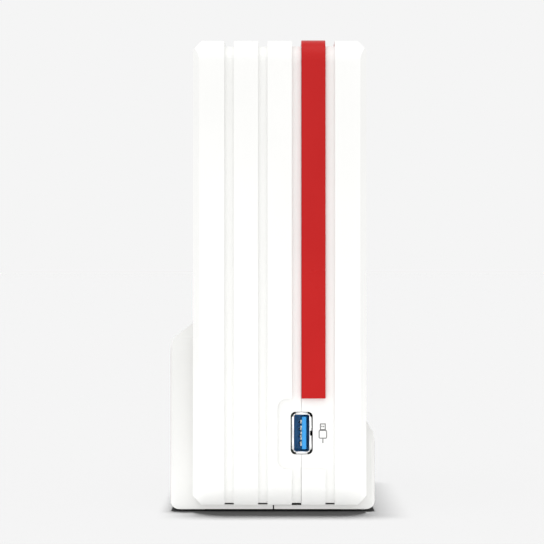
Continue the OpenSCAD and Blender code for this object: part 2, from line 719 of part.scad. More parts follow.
module board_tray() color("lightsteelblue") difference() {
    union() {
        box([tray_x0, tray_y0, 7.4], [tray_x1, tray_y1, 133]);
        for (p = board_screw_at) rod_x(3.2, tray_x1 - eps, board_x0, p[0], p[1]);
    }
    for (y = post_y, z = post_z) rod_x(1.7, tray_x0 - 1, tray_x1 + 1, y, z);
    for (p = board_screw_at) rod_x(1.3, tray_x0 - 1, board_x0 + 1, p[0], p[1]);
    for (s = [-1, 1]) rod_x(3, tray_x0 - 1, tray_x1 + 1, socket_yz[0] + s * 24, socket_yz[1] + s * 18);
    for (k = [0:6]) slot_x(tray_x0 - 1, tray_x1 + 1, -60 + k * 16, 108, 7, 18);
}

module tray_screws() color("silver") for (y = post_y, z = post_z) difference() {
    union() {
        rod_x(1.2, tray_x0 - 10, tray_x1 + 0.1, y, z);
        rod_x(2.9, tray_x1, tray_x1 + 1.7, y, z);
    }
    cross_x(tray_x1 + 0.7, tray_x1 + 2, y, z);
}

// Hat-section bracket: a back along the left wall, two flanges beside the drive, two brims.
flange_z = [16.2, drive_z1 + 2.8];
module drive_bracket() color("lightsteelblue") difference() {
    union() {
        box([in_left + 0.3, drive_y0 + 6, flange_z[0]], [in_left + 1.3, drive_y1 - 4, flange_z[1] + 1]);
        for (z = flange_z) box([in_left + 0.3, drive_y0 + 6, z], [tray_x0, drive_y1 - 4, z + 1]);
        box([tray_x0 - 1, drive_y0 + 6, 7.8], [tray_x0, drive_y1 - 4, flange_z[0] + 1]);
        box([tray_x0 - 1, drive_y0 + 6, flange_z[1]], [tray_x0, drive_y1 - 4, 133]);
    }
    for (y = post_y, z = post_z) rod_x(1.7, tray_x0 - 2, tray_x0 + 1, y, z);
    for (y = drive_hole_y, z = flange_z) rod_z(3.5, z - 1, z + 2, drive_hole_x, y);
    for (y = [-58, -30, -2, 26]) box([in_left - 1, y, 36], [in_left + 2, y + 18, 106]);
}

// Rubber bushes that hold the drive clear of the bracket.
module drive_grommets() color("dimgray") for (y = drive_hole_y, side = [0, 1]) {
    z0 = side == 0 ? flange_z[0] - 1 : drive_z1;
    z1 = side == 0 ? drive_z0 : flange_z[1] + 2;
    translate([drive_hole_x, y, 0]) difference() {
        cylinder(r = 4.6, h = z1);
        translate([0, 0, -1]) cylinder(r = 4.7, h = z0 + 1);
        translate([0, 0, flange_z[side] - 0.05]) difference() {
            cylinder(r = 5, h = 1.1);
            translate([0, 0, -1]) cylinder(r = 3.45, h = 3.2);
        }
        cylinder(r = 1.9, h = big);
    }
}

module drive_screws() color("silver") for (y = drive_hole_y, side = [0, 1]) {
    s = side == 0 ? 1 : -1;
    z = side == 0 ? flange_z[0] - 1 : flange_z[1] + 2;
    translate([drive_hole_x, y, z]) mirror([0, 0, side]) {
        difference() {
            translate([0, 0, -1.6]) cylinder(r = 3.4, h = 1.6);
            for (a = [0, 90]) rotate([0, 0, a]) box([-1.9, -0.4, -2], [1.9, 0.4, -0.6]);
        }
        translate([0, 0, -0.1]) cylinder(r = 1.65, h = 8.2);
    }
}

// ---- Hard drive ----------------------------------------------------------------------

drive_floor = -6;          // right end of the drive's chamber
drive_board_x = 1.2;
lid_x = drive_x0 + 1.2;

module drive_housing() color("silver") difference() {
    box([lid_x, drive_y0, drive_z0], [drive_board_x, drive_y1, drive_z1]);
    rod_x(chamber_r, lid_x - 1, drive_floor, spindle[0], spindle[1]);
    box([lid_x - 1, spindle[0] + 20, drive_z0 + 4], [drive_floor, drive_y1 - 7, drive_z1 - 14]);
    for (y = drive_hole_y, s = [0, 1]) rod_z(1.7, s == 0 ? drive_z0 - 1 : drive_z1 - 6,
        s == 0 ? drive_z0 + 6 : drive_z1 + 1, drive_hole_x, y);
    box([-3.2, drive_y1 - 4.6, 29], [drive_board_x + 1, drive_y1 + 1, 71]);
}

module drive_lid() color("silver") difference() {
    box([drive_x0, drive_y0 + 1, drive_z0 + 1], [lid_x, drive_y1 - 1, drive_z1 - 1]);
    rod_x(1.2, drive_x0 - 1, drive_x0 + 0.8, spindle[0] + 62, spindle[1] + 30);
}

module drive_board() color("darkgreen") {
    box([drive_board_x, drive_y1 - 92, drive_z0 + 5], [drive_board_x + 1, drive_y1 - 6, drive_z1 - 6]);
    box([drive_board_x + 0.9, drive_y1 - 60, 52], [drive_x1, drive_y1 - 46, 66]);
    box([drive_board_x + 0.9, drive_y1 - 38, 78], [drive_x1, drive_y1 - 28, 90]);
}

module drive_connector() color("black") {
    box([-3.1, drive_y1 - 4.6, 29.1], [drive_board_x, drive_y1 - 3.4, 70.9]);
    box([-1.5, drive_y1 - 3.5, 31.2], [-0.5, drive_y1 - 0.4, 45.4]);
    box([-1.5, drive_y1 - 3.5, 49.6], [-0.5, drive_y1 - 0.4, 68.8]);
}

function disc_x(k) = platter_x + k * platter_pitch;

module drive_platters() color("gainsboro") for (k = [0:platter_count - 1]) difference() {
    rod_x(platter_r, disc_x(k) - platter_t / 2, disc_x(k) + platter_t / 2, spindle[0], spindle[1]);
    rod_x(12.5, disc_x(k) - 2, disc_x(k) + 2, spindle[0], spindle[1]);
}

module spindle_hub() color("silver") difference() {
    union() {
        rod_x(12.45, -19.4, drive_floor - 0.5, spindle[0], spindle[1]);
        rod_x(16, -20.2, platter_x - platter_t / 2, spindle[0], spindle[1]);
        for (k = [0:platter_count - 2])
            rod_x(15.5, disc_x(k) + platter_t / 2, disc_x(k + 1) - platter_t / 2, spindle[0], spindle[1]);
        rod_x(15.5, disc_x(platter_count - 1) + platter_t / 2,
            disc_x(platter_count - 1) + 1.6, spindle[0], spindle[1]);
    }
    rod_x(2.04, -18.6, drive_floor, spindle[0], spindle[1]);
}

module drive_shafts() color("dimgray") {
    rod_x(2, -18.4, drive_floor, spindle[0], spindle[1]);
    rod_x(3, -20.6, drive_floor, pivot[0], pivot[1]);
}

// Places things in the actuator's own frame: +Y points along the arm, from the pivot.
spindle_dir = atan2(spindle[1] - pivot[1], spindle[0] - pivot[0]);
module at_arm() translate([0, pivot[0], pivot[1]]) rotate([spindle_dir - park_angle, 0, 0]) children();

module actuator() color("silver") at_arm() difference() {
    union() {
        rod_x(8, -20.4, -8.6, 0, 0);
        for (k = [-0.5:platter_count - 0.5]) {
            along_x(disc_x(k) - 0.4, disc_x(k) + 0.4) polygon([[2, -7], [34, -2.4], [arm_l, -1.2],
                [arm_l, 1.2], [34, 2.4], [2, 7]]);
        }
        for (s = [-1, 1]) along_x(-16, -13.4) polygon([[-6, s * 3], [-7, s * 7.4], [-26, s * 13],
            [-26, s * 10.5]]);
    }
    rod_x(3.04, -21, -8, 0, 0);
}

// Flat coil at the tail of the actuator.
module voice_coil() color("peru") at_arm() along_x(-16, -13.4) difference() {
    polygon([[-9.5, -3.4], [-9.5, 3.4], [-26, 10], [-27.6, 8], [-27.6, -8], [-26, -10]]);
    polygon([[-13.5, -2], [-13.5, 2], [-23.5, 5.5], [-23.5, -5.5]]);
}

module magnet_yokes() color("dimgray") for (x = [[-18.8, -17], [-12.4, -10.6]])
    along_x(x[0], x[1]) difference() {
        translate([pivot[0], pivot[1]]) circle(r = 31);
        translate([pivot[0], pivot[1]]) circle(r = 12);
        translate([pivot[0] - big / 2, drive_z0 + 5 - big]) square(big);
        translate([pivot[0] - big - 4, pivot[1] - big / 2]) square(big);
        translate([pivot[0] - big / 2, pivot[1] - 5]) square(big);
    }

left_cover();
right_cover();
accent_stripe();
left_stand();
right_stand();
left_feet();
right_feet();
left_stand_screws();
right_stand_screws();
rear_panel();
lock_plate();
light_guide();
fan_frame();
fan_rotor();
fan_shaft();
fan_bearing();
fan_stator();
fan_screws();
fan_lead();
main_board();
processor();
heatsink();
heatsink_pins();
memory_chips();
controller_chips();
power_inductors();
capacitors();
clock_battery();
buzzer();
status_leds();
network_jack();
network_contacts();
power_jack();
power_jack_pin();
usb_shell();
usb_insert();
usb_contacts();
sata_socket();
power_button();
power_switch();
reset_plunger();
reset_switch();
board_screws();
board_tray();
tray_screws();
drive_bracket();
drive_grommets();
drive_screws();
drive_housing();
drive_lid();
drive_board();
drive_connector();
drive_platters();
spindle_hub();
drive_shafts();
actuator();
voice_coil();
magnet_yokes();
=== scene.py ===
# %% [markdown]
# # A network storage box
# The object is an upright white case, ribbed front to back, on a low split stand. Its solid
# parts come ready-made as a fixed frame of named nodes. This file gives them their finishes,
# rounds the edges that a mould would round, and models the small pieces that need a finer
# shape: the port, the fan's rotor, the printed marks and the parts on the board.

# %% Loading the frame
import json
import math
import random

import bmesh
import bpy
from mathutils import Matrix, Vector


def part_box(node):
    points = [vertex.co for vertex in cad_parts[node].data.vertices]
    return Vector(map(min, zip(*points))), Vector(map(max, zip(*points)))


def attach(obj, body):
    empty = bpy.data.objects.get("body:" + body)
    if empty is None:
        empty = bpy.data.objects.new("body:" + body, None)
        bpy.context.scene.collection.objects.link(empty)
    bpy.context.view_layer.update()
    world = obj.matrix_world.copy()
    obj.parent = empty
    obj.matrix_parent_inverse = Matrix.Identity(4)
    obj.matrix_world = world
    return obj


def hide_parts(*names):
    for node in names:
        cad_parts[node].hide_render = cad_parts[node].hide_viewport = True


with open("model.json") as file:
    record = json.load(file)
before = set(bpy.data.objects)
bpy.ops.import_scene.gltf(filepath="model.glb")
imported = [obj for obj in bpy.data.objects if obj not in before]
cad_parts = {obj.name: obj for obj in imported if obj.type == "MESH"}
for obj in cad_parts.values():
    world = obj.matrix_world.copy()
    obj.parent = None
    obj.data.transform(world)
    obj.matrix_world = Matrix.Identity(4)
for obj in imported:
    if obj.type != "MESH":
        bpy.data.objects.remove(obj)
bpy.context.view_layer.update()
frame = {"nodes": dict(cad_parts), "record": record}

MM = 0.001
nodes = frame["nodes"]
body_of_node = {
    node: body
    for body, names in frame["record"]["behaviour"]["bodies"].items()
    for node in names
}
slot_of_node = {part["node"]: part["material_slot"] for part in frame["record"]["subparts"]}

# %% [markdown]
# ## Measuring from the frame
# Every place in this file is worked out from the boxes of the solid parts, so a piece fits
# where the frame says. A face name such as "front" is easier to read than a number.

# %% Places taken from the frame
def low(node):
    """Lowest corner of a solid part."""
    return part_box(node)[0]


def high(node):
    """Highest corner of a solid part."""
    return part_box(node)[1]


def middle(node):
    """Middle of a solid part's box."""
    return (low(node) + high(node)) / 2


case_front = low("left_cover").y
case_back = high("left_cover").y
case_top = high("left_cover").z
case_left = low("left_cover").x
case_right = high("right_cover").x
case_size = (case_right - case_left, case_back - case_front, case_top)
print("case, mm:", [round(length / MM, 1) for length in case_size])

# %% [markdown]
# ## Colour and nodes
# Colours are written the way a designer reads them, as hex values, and a shader wants them
# linear, so one function converts them. A second small function adds any node with its
# settings and its links, which keeps each material down to a few lines.

# %% Colour and node helpers
def linear(code):
    """Linear colour, with alpha, from an sRGB hex value such as "c52f2e"."""
    channels = [int(code[i:i + 2], 16) / 255 for i in (0, 2, 4)]
    straight = (c / 12.92 if c <= 0.04045 else ((c + 0.055) / 1.055) ** 2.4 for c in channels)
    return (*straight, 1.0)


def add(tree, kind, feeds=None, **settings):
    """Adds a node. settings are its own properties; feeds gives its sockets values or outputs."""
    made = tree.nodes.new(kind)
    for name, value in settings.items():
        setattr(made, name, value)
    for name, value in (feeds or {}).items():
        if isinstance(value, bpy.types.NodeSocket):
            tree.links.new(value, made.inputs[name])
        else:
            made.inputs[name].default_value = value
    return made


def per(size_mm):
    """Texture scale whose pattern repeats about once in size_mm."""
    return 1 / (size_mm * MM)


def surface(name, **sockets):
    """A new material with one Principled shader; sockets gives its constants, _ for a space."""
    material = bpy.data.materials.new(name)
    material.use_nodes = True
    tree = material.node_tree
    shader = tree.nodes["Principled BSDF"]
    for socket, value in sockets.items():
        shader.inputs[socket.replace("_", " ")].default_value = value
    return material, tree, shader


finishes = {}

# %% [markdown]
# ## Moulded plastics
# The case is injection-moulded ABS. The steel mould is spark-eroded to a fine grain, so the
# plastic leaves it satin: bright where light falls square on it and never mirror-like. The
# real grain is about 0.1 mm; it is drawn at 0.5 mm, or it would not show on the whole box.
# A broad, faint cloud in the tone and in the gloss stands for uneven flow in the mould and
# for handling. Colour and gloss could come from one noise, but two that don't line up look
# less like a print.

# %% Plastics
CLOUD_MM = 35     # patches of tone, from the flow in the mould
TOUCH_MM = 18     # patches of gloss, from handling


def moulded(name, light, shade, grain_mm, depth_mm, least, most, **sockets):
    """Moulded plastic: two close tones, a fine grain and a slightly uneven gloss."""
    material, tree, shader = surface(name, **sockets)
    here = add(tree, "ShaderNodeTexCoord").outputs["Object"]
    cloud = add(tree, "ShaderNodeTexNoise", {"Vector": here, "Scale": per(CLOUD_MM), "Detail": 3.0})
    tone = add(tree, "ShaderNodeMapRange", {
        "Value": cloud.outputs["Fac"], "From Min": 0.3, "From Max": 0.7})
    colour = add(tree, "ShaderNodeMix", {
        0: tone.outputs["Result"], 6: linear(light), 7: linear(shade)}, data_type="RGBA")
    touch = add(tree, "ShaderNodeTexNoise", {"Vector": here, "Scale": per(TOUCH_MM), "Detail": 5.0})
    gloss = add(tree, "ShaderNodeMapRange", {
        "Value": touch.outputs["Fac"], "From Min": 0.3, "From Max": 0.7, "To Min": least, "To Max": most})
    grain = add(tree, "ShaderNodeTexNoise", {"Vector": here, "Scale": per(grain_mm), "Detail": 2.0})
    relief = add(tree, "ShaderNodeBump", {"Height": grain.outputs["Fac"], "Distance": depth_mm * MM})
    tree.links.new(colour.outputs[2], shader.inputs["Base Color"])
    tree.links.new(gloss.outputs["Result"], shader.inputs["Roughness"])
    tree.links.new(relief.outputs["Normal"], shader.inputs["Normal"])
    return material


finishes["shell_white"] = moulded(
    "spark-eroded white ABS", "f3f3f1", "f0f0ee", 0.5, 0.004, 0.34, 0.44, IOR=1.53)
# The stand's white is darker than the case's white. That is painted shade: the wings stand back behind the
# case and sit in its shade.
finishes["stand_white"] = moulded(
    "coarse spark-eroded white ABS greyed as painted shade", "e4e4e2", "e0e0de", 0.7, 0.010, 0.42, 0.52, IOR=1.53)
finishes["panel_grey"] = moulded(
    "textured light grey ABS", "d4d4d2", "cbcbc8", 0.7, 0.02, 0.42, 0.55, IOR=1.53)
finishes["button_white"] = moulded(
    "polished white polycarbonate", "eeeeec", "e8e8e5", 1.2, 0.002, 0.14, 0.22, IOR=1.58)
finishes["accent_red"] = moulded(
    "satin red ABS", "bf1b1a", "b81616", 3.0, 0.003, 0.26, 0.34, IOR=1.53, Specular_IOR_Level=0.14)
finishes["fan_black"] = moulded(
    "glass-filled black PBT", "1b1b1c", "131314", 0.6, 0.015, 0.38, 0.52, IOR=1.55)
finishes["socket_black"] = moulded(
    "black glass-filled nylon", "1a1a1a", "121212", 0.5, 0.01, 0.42, 0.56, IOR=1.53)
finishes["chip_black"] = moulded(
    "moulded black epoxy", "242526", "1b1c1d", 0.4, 0.012, 0.48, 0.62, IOR=1.55)
finishes["ferrite_grey"] = moulded(
    "pressed iron powder", "4c4e50", "3c3e40", 0.5, 0.02, 0.45, 0.6, IOR=1.6)
finishes["pin_white"] = moulded(
    "natural nylon", "e6e4da", "dcd9cd", 0.8, 0.006, 0.32, 0.42, IOR=1.53)
finishes["port_blue"] = moulded(
    "moulded blue nylon", "2fa5ee", "2798df", 0.5, 0.006, 0.30, 0.42, IOR=1.53)
finishes["can_sleeve"] = moulded(
    "shrunk PET sleeve", "27407c", "1f366d", 1.5, 0.004, 0.16, 0.26, IOR=1.57)
finishes["led_lens"] = moulded(
    "cast epoxy lens", "cfe8c4", "c2dfb6", 1.0, 0.002, 0.10, 0.18, IOR=1.5)
finishes["clear_acrylic"] = moulded(
    "clear acrylic", "f4f8fa", "eef4f7", 2.0, 0.002, 0.05, 0.10, IOR=1.49, Transmission_Weight=0.85)
finishes["ceramic_tan"] = moulded(
    "fired ceramic", "b99468", "ad885d", 0.4, 0.004, 0.36, 0.48, IOR=1.6)
finishes["ink_grey"] = moulded(
    "pad-printed grey ink", "8c8c8c", "858585", 0.4, 0.002, 0.48, 0.58, IOR=1.5)
print("plastics:", len(finishes))

# %% [markdown]
# ## Rubbers
# Soft parts scatter light from a slightly open surface. They are matt, and their tone wanders
# more than that of a hard plastic. The same recipe serves, with a deeper grain and a higher
# roughness.

# %% Rubbers
finishes["pad_grey"] = moulded(
    "moulded thermoplastic rubber", "dcdcda", "cfcfcc", 0.6, 0.03, 0.70, 0.85, IOR=1.5)
finishes["bush_rubber"] = moulded(
    "moulded black rubber", "202020", "161616", 0.6, 0.03, 0.65, 0.82, IOR=1.52)
finishes["cable_black"] = moulded(
    "extruded soft PVC", "1d1d1e", "151516", 0.9, 0.008, 0.35, 0.48, IOR=1.53)
print("with rubbers:", len(finishes))

# %% [markdown]
# ## Metals
# A metal's look comes from how it was worked. Rolled or brushed sheet has fine lines one way,
# plated parts are almost smooth with a faint cloud from the bath, and a casting is grainy all
# over. One function draws all of these: a noise that is stretched along the working direction
# drives the roughness, the tone and a shallow relief.

# %% Metals
def worked(name, light, shade, grain_mm, stretch, depth_mm, least, most):
    """Bare or plated metal with its grain drawn out along the axes given by stretch."""
    material, tree, shader = surface(name, Metallic=1.0)
    here = add(tree, "ShaderNodeTexCoord").outputs["Object"]
    drawn = add(tree, "ShaderNodeMapping", {"Vector": here, "Scale": stretch})
    grain = add(tree, "ShaderNodeTexNoise", {
        "Vector": drawn.outputs["Vector"], "Scale": per(grain_mm), "Detail": 4.0})
    tone = add(tree, "ShaderNodeMapRange", {
        "Value": grain.outputs["Fac"], "From Min": 0.3, "From Max": 0.7})
    colour = add(tree, "ShaderNodeMix", {
        0: tone.outputs["Result"], 6: linear(light), 7: linear(shade)}, data_type="RGBA")
    gloss = add(tree, "ShaderNodeMapRange", {
        "Value": grain.outputs["Fac"], "From Min": 0.3, "From Max": 0.7, "To Min": least, "To Max": most})
    relief = add(tree, "ShaderNodeBump", {"Height": grain.outputs["Fac"], "Distance": depth_mm * MM})
    tree.links.new(colour.outputs[2], shader.inputs["Base Color"])
    tree.links.new(gloss.outputs["Result"], shader.inputs["Roughness"])
    tree.links.new(relief.outputs["Normal"], shader.inputs["Normal"])
    return material


EVEN = (1, 1, 1)
ALONG_Y = (1, 0.04, 1)
ALONG_Z = (1, 1, 0.04)
finishes["screw_zinc"] = worked(
    "zinc-plated steel", "d2d3cf", "bfc0bd", 1.5, EVEN, 0.004, 0.24, 0.36)
finishes["screw_black"] = worked(
    "black oxide steel", "3a3a3b", "2b2b2c", 1.2, EVEN, 0.006, 0.34, 0.46)
finishes["plate_steel"] = worked(
    "galvanised sheet steel", "c3c7ca", "a9aeb2", 5.0, EVEN, 0.004, 0.28, 0.44)
finishes["shaft_steel"] = worked(
    "ground steel", "b8b8b8", "9d9d9e", 0.4, ALONG_Y, 0.003, 0.16, 0.26)
finishes["bearing_bronze"] = worked(
    "sintered bronze", "b98a56", "9b6f42", 0.4, EVEN, 0.015, 0.42, 0.58)
finishes["winding_copper"] = worked(
    "enamelled copper wire", "c87946", "a95e32", 0.5, EVEN, 0.05, 0.24, 0.36)
finishes["sink_aluminium"] = worked(
    "extruded aluminium", "d3d5d8", "bcbfc3", 0.5, ALONG_Y, 0.012, 0.26, 0.40)
finishes["cell_steel"] = worked(
    "nickel-plated cell case", "cfcfca", "bcbcb8", 2.5, EVEN, 0.003, 0.20, 0.30)
finishes["jack_metal"] = worked(
    "tin-plated steel sheet", "cfcfca", "b9bab6", 2.0, EVEN, 0.005, 0.26, 0.38)
finishes["contact_gold"] = worked(
    "gold-plated bronze", "e3bd62", "d3a84c", 0.8, EVEN, 0.002, 0.16, 0.26)
finishes["pin_nickel"] = worked(
    "nickel-plated brass", "d6d5cf", "c4c3be", 1.0, EVEN, 0.002, 0.14, 0.22)
finishes["port_steel"] = worked(
    "bright nickel-plated steel", "fafafa", "f2f2f2", 1.2, EVEN, 0.002, 0.26, 0.36)
finishes["drive_cast"] = worked(
    "die-cast aluminium", "b9bcbe", "a3a6a9", 1.2, EVEN, 0.03, 0.38, 0.54)
finishes["drive_cover"] = worked(
    "brushed stainless sheet", "c6c8ca", "b1b4b6", 0.5, ALONG_Z, 0.005, 0.24, 0.36)
finishes["disc_mirror"] = worked(
    "polished platter", "e6e6e4", "dededc", 20.0, EVEN, 0.0005, 0.03, 0.05)
print("with metals:", len(finishes))

# %% [markdown]
# ## Circuit board
# A board is glass-epoxy laminate with copper tracks under a green lacquer. Where a track runs,
# the lacquer stands a few hundredths of a millimetre proud and looks a shade lighter. The
# tracks are the edges of two brick patterns at different widths, one turned a quarter turn.

# %% Circuit board finish
def board_finish(name):
    """Lacquered laminate with raised tracks, on a board that stands square to X."""
    material, tree, shader = surface(name, IOR=1.55, Coat_Weight=0.4, Coat_Roughness=0.12)
    here = add(tree, "ShaderNodeTexCoord").outputs["Object"]
    bricks = []
    for turn, pitch_mm in ((0, 9.0), (math.pi / 2, 13.0)):
        flat = add(tree, "ShaderNodeMapping", {"Vector": here, "Rotation": (0, -math.pi / 2, turn)})
        brick = add(tree, "ShaderNodeTexBrick", {
            "Vector": flat.outputs["Vector"], "Scale": per(pitch_mm), "Mortar Size": 0.03,
            "Mortar Smooth": 0.1, "Brick Width": 1.7, "Row Height": 0.21})
        bricks.append(brick.outputs["Fac"])
    tracks = add(tree, "ShaderNodeMath", {0: bricks[0], 1: bricks[1]}, operation="MAXIMUM").outputs[0]
    colour = add(tree, "ShaderNodeMix", {
        0: tracks, 6: linear("0d4a2c"), 7: linear("1a6b41")}, data_type="RGBA")
    cloud = add(tree, "ShaderNodeTexNoise", {"Vector": here, "Scale": per(6), "Detail": 3.0})
    gloss = add(tree, "ShaderNodeMapRange", {
        "Value": cloud.outputs["Fac"], "To Min": 0.22, "To Max": 0.38})
    relief = add(tree, "ShaderNodeBump", {"Height": tracks, "Distance": 0.03 * MM})
    tree.links.new(colour.outputs[2], shader.inputs["Base Color"])
    tree.links.new(gloss.outputs["Result"], shader.inputs["Roughness"])
    tree.links.new(relief.outputs["Normal"], shader.inputs["Normal"])
    return material


finishes["board_green"] = board_finish("solder mask over copper")

for node, piece in nodes.items():
    piece.data.materials.clear()
    piece.data.materials.append(finishes[slot_of_node[node]])
print("finishes:", len(finishes))

# %% [markdown]
# ## From mesh to piece
# Each new mesh ends the same way: it becomes a named object on a body, with its finish, and
# the solid parts it replaces are hidden. Weighted normals keep flat faces evenly lit, so
# that only their rounded edges catch a gradient, as on a real moulding.

# %% Making a piece
SHARP_FROM = 35      # degrees: a sharper edge than this keeps its crease


def finish_piece(name, made, body, material, replaced=()):
    """Turns a bmesh into a named piece on a body, with its finish."""
    mesh = bpy.data.meshes.new(name)
    made.to_mesh(mesh)
    made.free()
    for face in mesh.polygons:
        face.use_smooth = True
    mesh.materials.append(finishes[material])
    mesh.set_sharp_from_angle(angle=math.radians(SHARP_FROM))
    piece = bpy.data.objects.new(name, mesh)
    bpy.context.scene.collection.objects.link(piece)
    even = piece.modifiers.new("even faces", "WEIGHTED_NORMAL")
    even.keep_sharp = True
    even.weight = 100
    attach(piece, body)
    for node in replaced:
        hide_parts(node)
    print(name, len(mesh.polygons), "faces")
    return piece


def round_off(made, parts, radius_mm, segments=2, affect="EDGES"):
    """Rounds the given edges, or corners, by a radius."""
    return bmesh.ops.bevel(
        made, geom=parts, offset=radius_mm * MM, offset_type="OFFSET", segments=segments,
        profile=0.5, affect=affect, clamp_overlap=True, material=-1)


# %% [markdown]
# ## Rounding the edges of solid parts
# No moulded or pressed edge is knife-sharp: a radius of a few tenths of a millimetre catches
# a line of light, and without it the box looks like paper. The shape itself is right, so the
# piece is a copy of the solid part. Its loose triangles are merged, flat areas are dissolved
# into single faces, and only edges sharper than an angle are bevelled, which leaves the
# large curves alone. The two planes where the covers meet stay crisp, or the seam would gape.

# %% Rounded copies of solid parts
MERGE_MM = 0.001     # points closer than this are one
FLAT_BELOW = 0.5     # degrees between faces that count as one flat face
SEAM_MM = 0.01       # how near a seam plane an edge counts as lying on it
seam_planes = (low("accent_stripe").x - 0.1 * MM, low("right_cover").x)


def soften(node, radius_mm, segments=2, angle=28):
    """A copy of a solid part with its sharp edges rounded, apart from those along the seam."""
    made = bmesh.new()
    made.from_mesh(nodes[node].data)
    bmesh.ops.remove_doubles(made, verts=made.verts, dist=MERGE_MM * MM)
    bmesh.ops.dissolve_limit(
        made, angle_limit=math.radians(FLAT_BELOW), verts=made.verts, edges=made.edges)
    limit = math.radians(angle)
    sharp = [
        e for e in made.edges
        if len(e.link_faces) == 2 and e.calc_face_angle(0) > limit
        and not any(all(abs(v.co.x - x) < SEAM_MM * MM for v in e.verts) for x in seam_planes)
    ]
    round_off(made, sharp, radius_mm, segments)
    return finish_piece(node + "_rounded", made, body_of_node[node], slot_of_node[node], [node])


EDGE_RADII = {
    "left_cover": 0.35, "right_cover": 0.35, "accent_stripe": 0.2, "left_stand": 0.5, "right_stand": 0.5,
    "rear_panel": 0.3, "left_feet": 0.25, "right_feet": 0.25, "power_button": 0.35, "light_guide": 0.2,
    "left_stand_screws": 0.12, "right_stand_screws": 0.12, "fan_frame": 0.3, "fan_screws": 0.25,
    "network_jack": 0.2, "power_jack": 0.3, "power_jack_pin": 0.3, "lock_plate": 0.15,
    "reset_plunger": 0.2, "usb_insert": 0.2,
}
for node, radius in EDGE_RADII.items():
    soften(node, radius)

# %% [markdown]
# Inside, sheet metal has edges that the shears rolled over, castings are filleted, and epoxy
# packages and connectors have the small draft and radius of their moulds.

# %% Rounded parts inside
INNER_RADII = {
    "heatsink": 0.15, "heatsink_pins": 0.3, "processor": 0.12, "memory_chips": 0.1,
    "controller_chips": 0.1, "power_inductors": 0.4, "buzzer": 0.4, "status_leds": 0.1,
    "sata_socket": 0.2, "power_switch": 0.15, "reset_switch": 0.15, "board_screws": 0.45,
    "tray_screws": 0.45, "drive_screws": 0.4, "drive_grommets": 0.3, "board_tray": 0.12,
    "drive_bracket": 0.12, "drive_housing": 0.5, "drive_lid": 0.3, "drive_board": 0.1,
    "drive_connector": 0.12, "spindle_hub": 0.2, "actuator": 0.12, "magnet_yokes": 0.2,
    "main_board": 0.08,
}
for node, radius in INNER_RADII.items():
    soften(node, radius)

# %% [markdown]
# ## Small tools for modelling
# Three shapes cover most small pieces: a block between two corners, an outline turned about
# an axis as on a lathe, and a strip of sheet that follows a path. Each is a short chain of
# bmesh operators, so it can be mixed freely in one mesh.

# %% Block, lathe and strip
def add_block(made, start, end):
    """A block between two opposite corners."""
    place = Matrix.Translation((start + end) / 2) @ Matrix.Diagonal((*(end - start), 1))
    return bmesh.ops.create_cube(made, size=1, matrix=place)["verts"]


def add_turned(made, outline, centre, along, steps=32):
    """An outline of (radius, height) in mm, turned once about the axis along, from centre."""
    side = along.orthogonal().normalized()
    points = [
        made.verts.new(centre + along * height * MM + side * radius * MM)
        for radius, height in outline
    ]
    edges = [made.edges.new(pair) for pair in zip(points, points[1:])]
    bmesh.ops.spin(made, geom=points + edges, cent=centre, axis=along, angle=math.tau, steps=steps,
                   use_merge=True)
    bmesh.ops.remove_doubles(made, verts=made.verts, dist=0.0005 * MM)
    bmesh.ops.recalc_face_normals(made, faces=made.faces)


def add_strip(made, path, across):
    """A strip as wide as across: one edge, extruded from point to point of a path."""
    edge = made.edges.new([made.verts.new(path[0] - across / 2), made.verts.new(path[0] + across / 2)])
    for start, end in zip(path, path[1:]):
        grown = bmesh.ops.extrude_edge_only(made, edges=[edge])["geom"]
        new = [part for part in grown if isinstance(part, bmesh.types.BMVert)]
        bmesh.ops.translate(made, verts=new, vec=end - start)
        edge = next(e for e in new[0].link_edges if e.other_vert(new[0]) == new[1])


def thicken(piece, thickness_mm, offset=1.0):
    """Gives a sheet its thickness. Offset 1 grows it along its normals, -1 against them."""
    wall = piece.modifiers.new("wall", "SOLIDIFY")
    wall.thickness = thickness_mm * MM
    wall.offset = offset
    wall.use_even_offset = True
    return piece


def solids(node):
    """Lowest and highest corner of each separate solid in a node, in order along X, Y and Z."""
    made = bmesh.new()
    made.from_mesh(nodes[node].data)
    bmesh.ops.remove_doubles(made, verts=made.verts, dist=MERGE_MM * MM)
    waiting = set(made.verts)
    boxes = []
    while waiting:
        solid = [waiting.pop()]
        for vert in solid:
            joined = [e.other_vert(vert) for e in vert.link_edges]
            fresh = [other for other in joined if other in waiting]
            waiting.difference_update(fresh)
            solid.extend(fresh)
        corners = [[pick(v.co[axis] for v in solid) for axis in range(3)] for pick in (min, max)]
        boxes.append((Vector(corners[0]), Vector(corners[1])))
    made.free()
    return sorted(boxes, key=lambda box: [round(value, 5) for value in box[0]])


# %% [markdown]
# ## The front port
# A USB-A receptacle is one strip of plated steel, folded into a tube round an opening of
# 5.12 x 12.5 mm, whose mouth is flared into four lips that guide the plug. The corners of the
# mouth stay open, because sheet can't stretch round them, and they show dark. It could be cut
# from a block, but folding it the way the press does gives the thin edges and the bends: a
# rounded rectangle is extruded into a tube, its four straight mouth edges are extruded out,
# and the sheet gets its thickness at the end.

# %% Port shell
OPENING = Vector((5.12, 12.5)) * MM
SHEET_MM = 0.3
SETBACK_MM = 0.3     # from the lips' edge back to the fold
CORNER_MM = 0.45
port = middle("usb_shell")
port_mouth = low("usb_shell").y
port_end = high("usb_shell").y

